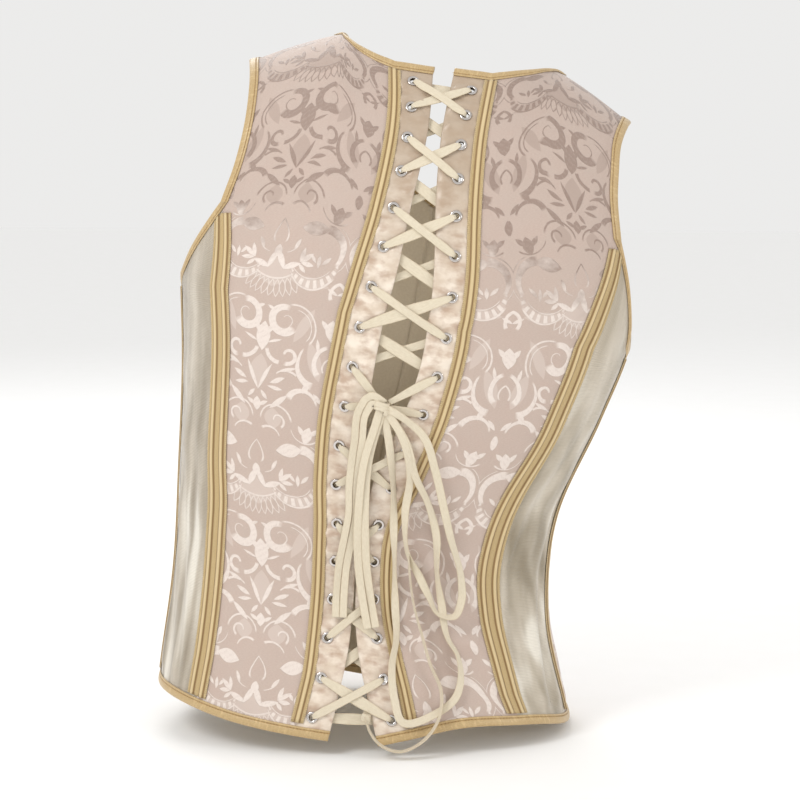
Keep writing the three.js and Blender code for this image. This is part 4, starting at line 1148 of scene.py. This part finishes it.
# How the tied ends hang from the knot: turn, level and height above the cloth
PAIRED_TAIL = [
    (-0.5, 0.80, 6.2), (2.4, 0.812, 6.6), (4.1, 0.785, 6.0), (3.6, 0.704, 5.3), (2.4, 0.60, 5.2),
    (1.3, 0.527, 5.2), (1.9, 0.465, 5.2), (2.9, 0.401, 5.2), (3.4, 0.325, 5.2), (3.5, 0.264, 5.2)]
MIDDLE_TAIL = [
    (-0.5, 0.80, 6.2), (0.0, 0.745, 6.6), (0.3, 0.683, 6.6), (-1.1, 0.557, 6.6), (-3.2, 0.383, 6.6),
    (-5.9, 0.248, 6.4)]
LONG_LOOP = [
    (-0.5, 0.80, 6.2), (-5.5, 0.691, 5.4), (-8.5, 0.617, 5.2), (-11.5, 0.471, 5.2), (-12.7, 0.318, 5.2),
    (-12.9, 0.226, 5.2), (-11.4, 0.166, 5.2), (-11.5, 0.089, 5.2), (-13.4, 0.035, 5.4), (-22.7, 0.060, 5.6),
    (-29.0, 0.100, 6.0), (-31.0, 0.205, 6.4), (-28.7, 0.238, 6.5), (-26.7, 0.330, 6.5), (-25.0, 0.405, 6.5),
    (-23.5, 0.509, 6.5), (-19.7, 0.579, 6.5), (-13.6, 0.649, 6.8), (-9.0, 0.721, 7.0), (-0.5, 0.80, 6.2)]
WIDE_LOOP = [
    (-0.5, 0.80, 6.2), (-5.8, 0.784, 8.4), (-12.2, 0.750, 8.2), (-18.7, 0.667, 8.0), (-27.6, 0.512, 8.0),
    (-32.7, 0.397, 8.0), (-32.9, 0.340, 7.8), (-30.6, 0.300, 7.8), (-26.1, 0.302, 7.8), (-22.4, 0.352, 7.8),
    (-19.4, 0.400, 7.8), (-15.9, 0.450, 7.8), (-13.6, 0.545, 7.8), (-12.4, 0.645, 8.2), (-7.5, 0.735, 8.0),
    (-0.5, 0.80, 6.2)]
SLACK_END = [
    (-15.9, 0.45, 7.8), (-18.2, 0.32, 7.8), (-20.5, 0.244, 8.0), (-22.4, 0.174, 8.0), (-24.8, 0.115, 8.0),
    (-23.1, 0.044, 8.2), (-17.6, -0.012, 8.0), (-12.4, -0.034, 7.0), (-7.0, -0.02, 6.2), (-4.4, 0.01, 5.2),
    (-3.6, 0.036, 2.4)]


# Each end's name, route, width, distance aside at the knot and further down, lift, tilt, twist and far end
HANGING_ENDS = (
    ("paired_tail_outer", PAIRED_TAIL, TAIL_WIDTH, (2.9, 2.9), 0.0, 0.0, 18.0, "bare"),
    ("paired_tail_inner", PAIRED_TAIL, TAIL_WIDTH, (-2.9, -2.9), 0.0, 0.0, 18.0, "bare"),
    ("middle_tail_outer", MIDDLE_TAIL, LACE_WIDTH, (0.9, 3.0), 0.0, 0.0, 14.0, "bare"),
    ("middle_tail_inner", MIDDLE_TAIL, LACE_WIDTH, (-0.9, -3.0), 0.9, 0.0, 14.0, "bare"),
    ("long_loop", LONG_LOOP, LACE_WIDTH, (0.0, 0.0), 0.0, 0.0, 52.0, "object"),
    ("wide_loop", WIDE_LOOP, LACE_WIDTH, (0.0, 0.0), 0.0, 0.0, 52.0, "object"),
    ("slack_end", SLACK_END, LACE_WIDTH, (0.0, 0.0), 0.0, 78.0, 0.0, "knot"),
)


def hanging(rows, width, aside, lift, tilt, most, seed):
    """Stations of a tail or loop that hangs over the back, twisting a little as it falls."""
    rows = np.asarray(rows, float)
    along = run(form(rows[:, 0], rows[:, 1]))
    at = np.linspace(0, along[-1], int(along[-1] / 4))
    turn, level, height = (hermite(at, along, rows[:, k]) for k in range(3))
    way = unit(np.gradient(form(turn, level), axis=0))
    out = normal(turn, level)
    across = unit(np.cross(out, way))
    share = at / at[-1]
    points = above(turn, level, height + lift) + across * np.interp(share, (0.1, 0.6), aside)[:, None]
    settle = smooth(at, 4, 26) * smooth(at[-1] - at, 4, 20)
    twist = np.sin(at / 17.0 + seed) * 0.6 + np.sin(at / 31.0 + seed * 2.3 + share * 2.0) * 0.6
    angle = np.radians(tilt + most * twist * settle)[:, None]
    across = across * np.cos(angle) + out * np.sin(angle)
    return np.concatenate([points, across, np.full((len(at), 1), width)], 1)


# Geometry node trees
def tree_of(name, inputs):
    """A geometry tree with its geometry sockets and named inputs, each (name, type, default)."""
    tree = bpy.data.node_groups.new(name, "GeometryNodeTree")
    tree.interface.new_socket("Geometry", in_out="INPUT", socket_type="NodeSocketGeometry")
    for label, kind, default in inputs:
        socket = tree.interface.new_socket(label, in_out="INPUT", socket_type=kind)
        if default is not None:
            socket.default_value = default
    tree.interface.new_socket("Geometry", in_out="OUTPUT", socket_type="NodeSocketGeometry")
    return tree


def wired(tree, kind, links=(), **settings):
    """The first output of a new node in a tree, with its settings made and its inputs linked or set."""
    node = tree.nodes.new(kind if kind.startswith(("Function", "Shader")) else "GeometryNode" + kind)
    for key, value in settings.items():
        setattr(node, key, value)
    for key, value in dict(links).items():
        if isinstance(value, bpy.types.NodeSocket):
            tree.links.new(value, node.inputs[key])
        else:
            node.inputs[key].default_value = value
    return node.outputs[0]


def given_to(tree):
    return {socket.name: socket for socket in tree.nodes.new("NodeGroupInput").outputs}


def closed(tree, geometry):
    tree.links.new(geometry, tree.nodes.new("NodeGroupOutput").inputs["Geometry"])
    return tree


def grown(obj, tree, **values):
    """The object's own mesh after a geometry tree with these input values."""
    modifier = obj.modifiers.new(tree.name, "NODES")
    modifier.node_group = tree
    for item in tree.interface.items_tree:
        if item.in_out == "INPUT" and item.name in values:
            modifier[item.identifier] = values[item.name]
    return applied(obj)


def eyelet_tree():
    """Metal eyelets: a rounded flange and a barrel on every point, facing the point's own direction; the
    barrel is dark, painted shade in the hole.
    """
    tree = tree_of("eyelets", [
        ("Flange Radius", "NodeSocketFloat", 3.35 * MM),
        ("Flange Half Width", "NodeSocketFloat", 0.98 * MM),
        ("Flange Height", "NodeSocketVector", (0, 0, 0.92 * MM)),
        ("Barrel Radius", "NodeSocketFloat", 2.42 * MM),
        ("Barrel Wall", "NodeSocketFloat", 0.16 * MM),
        ("Barrel Height", "NodeSocketVector", (0, 0, -0.5 * MM)),
        ("Metal", "NodeSocketMaterial", None), ("Bore", "NodeSocketMaterial", None)])
    given = given_to(tree)

    def ring(radius, section, steps, shape, height):
        """A ring whose section is a circle of a radius and a number of steps, scaled to a shape."""
        line = wired(tree, "CurvePrimitiveCircle", {"Resolution": 40, "Radius": given[radius]})
        round_section = wired(tree, "CurvePrimitiveCircle", {"Resolution": steps, "Radius": given[section]})
        scaled = wired(tree, "Transform", {"Geometry": round_section, "Scale": shape})
        body = wired(tree, "CurveToMesh", {"Curve": line, "Profile Curve": scaled})
        return wired(tree, "Transform", {"Geometry": body, "Translation": given[height]})

    flange = ring("Flange Radius", "Flange Half Width", 10, (1.0, 0.36, 1.0), "Flange Height")
    barrel = ring("Barrel Radius", "Barrel Wall", 8, (1.0, 8.5, 1.0), "Barrel Height")
    # the barrel is marked for its dark material, painted shade in the hole
    marked = wired(tree, "StoreNamedAttribute", {"Geometry": barrel, "Name": "bore_shade", "Value": True},
                   data_type="BOOLEAN", domain="FACE")
    both = tree.nodes.new("GeometryNodeJoinGeometry")
    for body in (flange, marked):
        tree.links.new(body, both.inputs[0])
    facing = wired(tree, "InputNamedAttribute", {"Name": "facing"}, data_type="FLOAT_VECTOR")
    turned = wired(tree, "FunctionNodeAlignRotationToVector", {"Vector": facing}, axis="Z")
    placed = wired(tree, "InstanceOnPoints", {
        "Points": given["Geometry"], "Instance": both.outputs[0], "Rotation": turned})
    even = wired(tree, "SetShadeSmooth", {"Geometry": wired(tree, "RealizeInstances", {"Geometry": placed})})
    bright = wired(tree, "SetMaterial", {"Geometry": even, "Material": given["Metal"]})
    bore_shade = wired(tree, "InputNamedAttribute", {"Name": "bore_shade"}, data_type="BOOLEAN")
    return closed(tree, wired(tree, "SetMaterial", {
        "Geometry": bright, "Selection": bore_shade, "Material": given["Bore"]}))


def stitch_tree():
    """Small stitches at even steps along a line, lying in its direction."""
    tree = tree_of("stitches", [
        ("Pitch", "NodeSocketFloat", 2.6 * MM), ("Length", "NodeSocketFloat", 1.9 * MM),
        ("Thread", "NodeSocketFloat", 0.26 * MM), ("Material", "NodeSocketMaterial", None)])
    given = given_to(tree)
    line = wired(tree, "MeshToCurve", {"Mesh": given["Geometry"]})
    even = wired(tree, "ResampleCurve", {"Curve": line, "Length": given["Pitch"]}, mode="LENGTH")
    ball = wired(tree, "MeshUVSphere", {"Segments": 6, "Rings": 4, "Radius": 1.0})
    half = wired(tree, "ShaderNodeMath", {0: given["Length"], 1: 0.5}, operation="MULTIPLY")
    size = wired(tree, "ShaderNodeCombineXYZ", {0: half, 1: given["Thread"], 2: given["Thread"]})
    tangent = wired(tree, "InputTangent")
    turned = wired(tree, "FunctionNodeAlignRotationToVector", {"Vector": tangent}, axis="X")
    placed = wired(tree, "InstanceOnPoints", {
        "Points": even, "Instance": ball, "Rotation": turned, "Scale": size})
    soft = wired(tree, "SetShadeSmooth", {"Geometry": wired(tree, "RealizeInstances", {"Geometry": placed})})
    return closed(tree, wired(tree, "SetMaterial", {"Geometry": soft, "Material": given["Material"]}))


def line_object(name, lines):
    """A mesh of edge lines through points in mm."""
    points, edges = [], []
    for line in lines:
        start = len(points)
        points += (np.asarray(line) * MM).tolist()
        edges += [(start + k, start + k + 1) for k in range(len(line) - 1)]
    mesh = bpy.data.meshes.new(name)
    mesh.from_pydata(points, edges, [])
    obj = bpy.data.objects.new(name, mesh)
    bpy.context.collection.objects.link(obj)
    return obj


class WAISTCOAT_OT_finishes(bpy.types.Operator):
    """Make the cloth, trim, metal and lace materials"""

    bl_idname = "waistcoat.finishes"
    bl_label = "Finishes"

    def execute(self, context):
        colours = context.scene.waistcoat_colours
        ground, silver = (*colours.ground, 1.0), (*colours.silver, 1.0)
        cloth = brocade("brocade", ground, silver)
        LOOKS["back_left"] = placed(cloth, "brocade back left", 36.0, 0.073, 356.0)
        LOOKS["back_right"] = placed(cloth, "brocade back right", 121.6, -0.107, 342.0)
        LOOKS["front"] = placed(cloth, "brocade front", 53.0, 0.0, 350.0)
        bpy.data.materials.remove(cloth)
        LOOKS["strip"] = plain_satin("champagne satin", (209, 191, 171), (233, 220, 204), (176, 147, 124))
        LOOKS["side_left"] = ribbed_satin(
            "ribbed cream satin left", (166, 154, 136), (199, 188, 171), (118, 104, 82), 0.075, 0.006)
        LOOKS["side_right"] = ribbed_satin(
            "ribbed cream satin right", (176, 164, 144), (204, 193, 176), (124, 110, 84), 0.04, 0.013)
        LOOKS["single"] = tape_satin("boning tape", 5.0, (0.0,))
        LOOKS["double"] = tape_satin("double boning tape", 9.6, (4.75,))
        LOOKS["binding"] = binding_satin("golden binding")
        LOOKS["metal"] = polished("eyelet metal", (206, 200, 196), 0.16)
        # a dark copy of the eyelet metal, painted shade in the holes
        LOOKS["bore_shade"] = polished("eyelet bore", (70, 62, 56), 0.4)
        LOOKS["lace"] = lace_weave("cream lace")
        LOOKS["lining"] = lining_cotton("cotton lining")
        thread = Look("golden thread", roughness=0.6)
        twist = thread.noise(thread.place(), 2500.0, 2.0)
        shade = thread.mix(twist, (*colours.thread, 1.0), srgb(160, 124, 70))
        LOOKS["thread"] = thread.finish(shade, 0.6, twist, 0.00004)
        return {"FINISHED"}


class WAISTCOAT_OT_lacing_strips(bpy.types.Operator):
    """Make the puckered satin strips beside the back opening"""

    bl_idname = "waistcoat.lacing_strips"
    bl_label = "Lacing Strips"

    def execute(self, context):
        wall = context.scene.waistcoat_cut.wall / MM
        for name, side in SIDES.items():
            grid = PIECES[name]["strip"]
            base = form(grid[..., 0], grid[..., 1])
            across, up = measured(base, 0)
            relief = strip_relief(side, across, up)
            for turn, level in eyelets(side):
                gap = np.linalg.norm(base - form(turn, level), axis=-1)
                relief *= smooth(gap, *FLAT_ROUND_EYELET)
            uvs = np.stack([across, up], -1)
            obj = cloth_piece("satin_lacing_strip_" + name, grid, relief, uvs, LOOKS["strip"], wall)
            obj = pierced(obj, eyelets(side))
            finish_piece(obj, "lacing_strip_" + name, slot="satin")
            cut_flat(obj, base)
        return {"FINISHED"}


def cut_flat(obj, *grids_of_points):
    """Sums the area of a panel's grids of points in square metres; the sum is not kept."""
    area = 0.0
    for points in grids_of_points:
        a, b, c = points[:-1, :-1], points[:-1, 1:], points[1:, :-1]
        area += float(np.linalg.norm(np.cross(b - a, c - a), axis=-1).sum()) * MM * MM


def pierced(obj, holes):
    """Cuts the eyelet holes through a strip."""
    work = bmesh.new()
    for turn, level in holes:
        out = normal(np.array(turn), level)
        centre = Vector(above(np.array(turn), level, -CLOTH / 2) * MM)
        place = Vector(out).to_track_quat("Z", "Y").to_matrix().to_4x4()
        place.translation = centre
        bmesh.ops.create_cone(
            work, cap_ends=True, segments=24, radius1=HOLE_RADIUS * MM, radius2=HOLE_RADIUS * MM,
            depth=PUNCH_LENGTH * MM, matrix=place)
    mesh = bpy.data.meshes.new("punch")
    work.to_mesh(mesh)
    work.free()
    punch = bpy.data.objects.new("punch", mesh)
    bpy.context.collection.objects.link(punch)
    cut = obj.modifiers.new("holes", "BOOLEAN")
    cut.operation, cut.object, cut.solver = "DIFFERENCE", punch, "EXACT"
    obj = applied(obj)
    bpy.data.objects.remove(punch)
    return obj


class WAISTCOAT_OT_panels(bpy.types.Operator):
    """Make the brocade back and front panels and the ribbed side panels"""

    bl_idname = "waistcoat.panels"
    bl_label = "Panels"

    def execute(self, context):
        wall = context.scene.waistcoat_cut.wall / MM
        kinds = (
            ("back", back_relief, "brocade_back_", "brocade"),
            ("side", side_relief, "ribbed_side_", "satin"))
        for name, side in SIDES.items():
            for key, relief_of, label, slot in kinds:
                grid = PIECES[name][key]
                base = form(grid[..., 0], grid[..., 1])
                across, up = measured(base, grid.shape[1] // 2)
                uvs = np.stack([across, up], -1)
                look = LOOKS[key + "_" + name]
                obj = cloth_piece(label + name, grid, relief_of(side, across, up), uvs, look, wall)
                finish_piece(obj, f"{key}_panel_{name}", slot=slot)
                cut_flat(obj, base)
            self.front(name, side, wall)
        return {"FINISHED"}

    def front(self, name, side, wall):
        """The front panel is a trunk and yoke grid with a part under the armhole beside it."""
        under, grid = PIECES[name]["under"], PIECES[name]["front"]
        rows, width = under.shape[:2]
        whole = np.concatenate([under, grid[:rows, 1:]], 1)
        yoke = grid[rows - 1:]
        base, over = form(whole[..., 0], whole[..., 1]), form(yoke[..., 0], yoke[..., 1])
        across, up = measured(base, -BREAST_COLUMN)
        relief = front_relief(across, up, 41 + side["sign"])
        fade = np.linspace(1, 0, len(yoke))[:, None] ** 0.5
        first = above(whole[..., 0], whole[..., 1], relief)
        second = above(yoke[..., 0], yoke[..., 1], relief[-1, width - 1:][None] * fade)
        points = np.concatenate([first.reshape(-1, 3), second[1:].reshape(-1, 3)])
        every = np.concatenate([whole.reshape(-1, 2), yoke[1:].reshape(-1, 2)])
        total = whole.shape[1]
        low_ids = np.arange(rows * total).reshape(rows, total)
        high_ids = rows * total + np.arange((len(yoke) - 1) * grid.shape[1]).reshape(-1, grid.shape[1])
        yoke_ids = np.concatenate([low_ids[-1:, width - 1:], high_ids])
        faces = np.concatenate([faces_of(ids, outward(grid)) for ids in (low_ids, yoke_ids)])
        uvs = woven(every[:, 0], every[:, 1], STRAIGHT_UP_FRONT * side["sign"])
        obj = mesh_object("brocade_front_" + name, points, faces, uvs)
        obj = walled(obj, LOOKS["front"], LOOKS["lining"], wall)
        finish_piece(obj, "front_panel_" + name, slot="brocade")
        cut_flat(obj, base, over)


class WAISTCOAT_OT_tapes(bpy.types.Operator):
    """Make the boning tapes over the seams"""

    bl_idname = "waistcoat.tapes"
    bl_label = "Boning Tapes"

    def execute(self, context):
        for name, grid in PIECES.items():
            seams = (
                ("back", grid["strip"], grid["back"], SINGLE_TAPE, "single"),
                ("side_back", grid["back"][:CROSSING + 1], grid["side"], DOUBLE_TAPE, "double"),
                ("side_front", grid["side"], grid["under"], SINGLE_TAPE, "single"))
            for key, inner, outer, profile, look in seams:
                self.lay(f"{key}_boning_{name}", inner[:, ::-1], outer, profile, look, f"{key}_tape_{name}")
        left, right = PIECES["left"]["front"], PIECES["right"]["front"]
        self.lay("front_boning", left[:, ::-1], right[:, ::-1], SINGLE_TAPE, "single", "front_tape")
        return {"FINISHED"}

    def lay(self, name, inner, outer, profile, look, node):
        """A tape on the rows that are clear of the bindings at both ends of the seam."""
        along = run(form(inner[:, 0, 0], inner[:, 0, 1]))
        free = (along > BINDING_ROOM) & (along[-1] - along > BINDING_ROOM)
        rows = seam_tape(inner[free], outer[free], profile)
        finish_piece(swept(name, rows, profile[:, 0], LOOKS[look]), node, slot="gold_satin")


class WAISTCOAT_OT_bindings(bpy.types.Operator):
    """Bind the hem, the neck and the armholes, with their stitching"""

    bl_idname = "waistcoat.bindings"
    bl_label = "Bindings"

    def execute(self, context):
        cut = context.scene.waistcoat_cut
        seams = []
        for key, chains in edge_chains().items():
            rows = bound_edge(chains)
            joined = key.startswith("armhole")
            node = key.replace("armhole", "armhole_binding") if joined else key + "_binding"
            obj = swept("satin_" + node, rows, BINDING[:, 0], LOOKS["binding"], joined)
            finish_piece(obj, node, slot="gold_satin")
            where = lane(chains[..., 0], chains[..., 1], [STITCH_LINE])[:, 0]
            seams.append(above(where[:, 0], where[:, 1], STITCH_HEIGHT))
        threads = line_object("edge_stitching", seams)
        threads = grown(threads, stitch_tree(), Pitch=cut.stitch, Material=LOOKS["thread"])
        finish_piece(threads, slot="gold_satin")
        return {"FINISHED"}


class WAISTCOAT_OT_eyelets(bpy.types.Operator):
    """Set the metal eyelets in both lacing strips"""

    bl_idname = "waistcoat.eyelets"
    bl_label = "Eyelets"

    def execute(self, context):
        turn, level = np.array([spot for side in SIDES.values() for spot in eyelets(side)]).T
        mesh = bpy.data.meshes.new("eyelets")
        mesh.from_pydata((form(turn, level) * MM).tolist(), [], [])
        facing = mesh.attributes.new("facing", "FLOAT_VECTOR", "POINT")
        facing.data.foreach_set("vector", normal(turn, level).ravel())
        obj = bpy.data.objects.new("metal_eyelets", mesh)
        context.collection.objects.link(obj)
        obj = grown(obj, eyelet_tree(), Metal=LOOKS["metal"], Bore=LOOKS["bore_shade"])
        nodes = [f"eyelet_{name}_{pair}" for name in SIDES for pair in range(1, PAIRS + 1)]
        finish_piece(obj, *nodes, slot="eyelet_metal")
        return {"FINISHED"}


class WAISTCOAT_OT_laces(bpy.types.Operator):
    """Lace the back opening crosswise, in an upper and a lower half"""

    bl_idname = "waistcoat.laces"
    bl_label = "Laces"

    def execute(self, context):
        for name, holes in (("upper", crossed(UPPER_PAIRS, 1)), ("lower", crossed(UPPER_PAIRS + 1, PAIRS))):
            obj, _ = flat_lace("crossed_lace_" + name, lacing(holes), LACED_THICKNESS)
            finish_piece(obj, "lace_" + name, slot="lace")
        return {"FINISHED"}


KNOT_WRAPS, KNOT_SLANT, KNOT_BAND = 2.6, 0.38, 4.4


def knot_part(name, centre, radii):
    """A small knot: a lace wound over itself in slanting bands, closed up on its core."""
    turns = np.linspace(0, 1, 150)
    angle = (turns * KNOT_WRAPS + 0.3) * 2 * math.pi
    x = np.cos(angle) * radii[0] * 0.66
    out = np.sin(angle) * radii[1] * 0.62
    up = (turns - 0.5) * radii[2] * 1.1 + x * KNOT_SLANT
    points = centre + np.stack([x, out, up], -1)
    across = np.broadcast_to(unit(np.array([-KNOT_SLANT, 0.0, 1.0])), points.shape)
    stations = np.concatenate([points, across, np.full((len(turns), 1), KNOT_BAND)], 1)
    obj, _ = flat_lace(name, stations, KNOT_THICKNESS, 0.6)
    return finish_piece(obj, "lace_bow", slot="lace")


class WAISTCOAT_OT_bow(bpy.types.Operator):
    """Tie the lace ends in a knot and hang them over the back"""

    bl_idname = "waistcoat.bow"
    bl_label = "Tied Ends"

    def execute(self, context):
        knot_part("lace_knot", above(*KNOT), KNOT_RADII)
        small = knot_part("small_knot", above(*SLACK_END[-1]), SMALL_KNOT_RADII)
        for k, (name, rows, width, aside, lift, tilt, most, far) in enumerate(HANGING_ENDS):
            stations = hanging(rows, width, aside, lift, tilt, most, 1.7 * k)
            obj, path = flat_lace(name, stations, HANGING_THICKNESS)
            finish_piece(obj, "lace_bow", slot="lace")
        return {"FINISHED"}


# The stage in metres and degrees; each lamp's name, azimuth, elevation, distance, size and power
TARGET = Vector((0.035, 0.0, -0.262))
CAMERA_AT = (184.0, 7.5, 2.0)
SENSOR = 36.0
PHOTO_PIXELS, PIXEL = 800, 0.78 * MM
WORLD_COLOUR, WORLD_STRENGTH = (1.0, 0.995, 0.985, 1.0), 0.84
LAMPS = (("key", 142, 38, 1.8, 0.6, 11.5), ("fill", 240, 12, 2.0, 0.5, 6.0), ("rim", 20, 40, 2.0, 1.0, 10.0))


class WAISTCOAT_OT_stage(bpy.types.Operator):
    """Set the pale floor, the soft light and the camera"""

    bl_idname = "waistcoat.stage"
    bl_label = "Stage"

    def execute(self, context):
        bpy.ops.mesh.primitive_plane_add(size=12, location=(0, 0, CAD_BOX[0][2] - 0.004))
        floor = context.object
        floor.name = "floor"
        look = Look("pale floor", roughness=0.9)
        grain = look.noise(look.place(), 30.0)
        floor.data.materials.append(look.finish(look.mix(grain, srgb(255, 255, 255), srgb(252, 252, 251))))
        world = bpy.data.worlds.new("soft light")
        context.scene.world = world
        world.use_nodes = True
        light = world.node_tree.nodes["Background"].inputs
        light["Color"].default_value = WORLD_COLOUR
        light["Strength"].default_value = WORLD_STRENGTH
        for label, azimuth, elevation, distance, size, power in LAMPS:
            lamp = bpy.data.lights.new(label, "AREA")
            lamp.size, lamp.energy = size, power
            self.aim(bpy.data.objects.new(label, lamp), azimuth, elevation, distance)
        camera = bpy.data.objects.new("camera", bpy.data.cameras.new("camera"))
        self.aim(camera, *CAMERA_AT)
        camera.data.sensor_width = SENSOR
        camera.data.lens = SENSOR * CAMERA_AT[-1] / (PHOTO_PIXELS * PIXEL)
        context.scene.camera = camera
        context.scene.view_settings.view_transform = "Standard"
        context.scene.view_settings.look = "None"
        return {"FINISHED"}

    def aim(self, obj, azimuth, elevation, distance):
        """Puts a lamp or the camera at a distance from the target, looking at it."""
        bpy.context.collection.objects.link(obj)
        a, e = math.radians(azimuth), math.radians(elevation)
        way = Vector((math.sin(a) * math.cos(e), -math.cos(a) * math.cos(e), math.sin(e)))
        obj.location = TARGET + way * distance
        obj.rotation_euler = way.to_track_quat("Z", "Y").to_euler()


class WAISTCOAT_PT_panel(bpy.types.Panel):
    """Settings and steps of the waistcoat"""

    bl_label = "Boned Waistcoat"
    bl_idname = "WAISTCOAT_PT_panel"
    bl_space_type = "VIEW_3D"
    bl_region_type = "UI"
    bl_category = "Waistcoat"

    def draw(self, context):
        layout = self.layout
        for settings in (context.scene.waistcoat_cut, context.scene.waistcoat_colours):
            box = layout.box()
            for key in settings.bl_rna.properties.keys():
                if key not in ("rna_type", "name"):
                    box.prop(settings, key)
        for step in STEPS:
            layout.operator(step.bl_idname)


STEPS = (
    WAISTCOAT_OT_finishes, WAISTCOAT_OT_lacing_strips, WAISTCOAT_OT_panels, WAISTCOAT_OT_tapes,
    WAISTCOAT_OT_bindings, WAISTCOAT_OT_eyelets, WAISTCOAT_OT_laces, WAISTCOAT_OT_bow, WAISTCOAT_OT_stage,
)
CLASSES = (CutSettings, ColourSettings, *STEPS, WAISTCOAT_PT_panel)


def register():
    for cls in CLASSES:
        bpy.utils.register_class(cls)
    bpy.types.Scene.waistcoat_cut = bpy.props.PointerProperty(type=CutSettings)
    bpy.types.Scene.waistcoat_colours = bpy.props.PointerProperty(type=ColourSettings)


def unregister():
    del bpy.types.Scene.waistcoat_colours
    del bpy.types.Scene.waistcoat_cut
    for cls in reversed(CLASSES):
        bpy.utils.unregister_class(cls)


def main():
    register()
    bpy.ops.waistcoat.finishes()
    bpy.ops.waistcoat.stage()
    bpy.ops.waistcoat.bow()
    bpy.ops.waistcoat.laces()
    bpy.ops.waistcoat.lacing_strips()
    bpy.ops.waistcoat.panels()
    bpy.ops.waistcoat.tapes()
    bpy.ops.waistcoat.bindings()
    bpy.ops.waistcoat.eyelets()


if __name__ == "__main__":
    main()
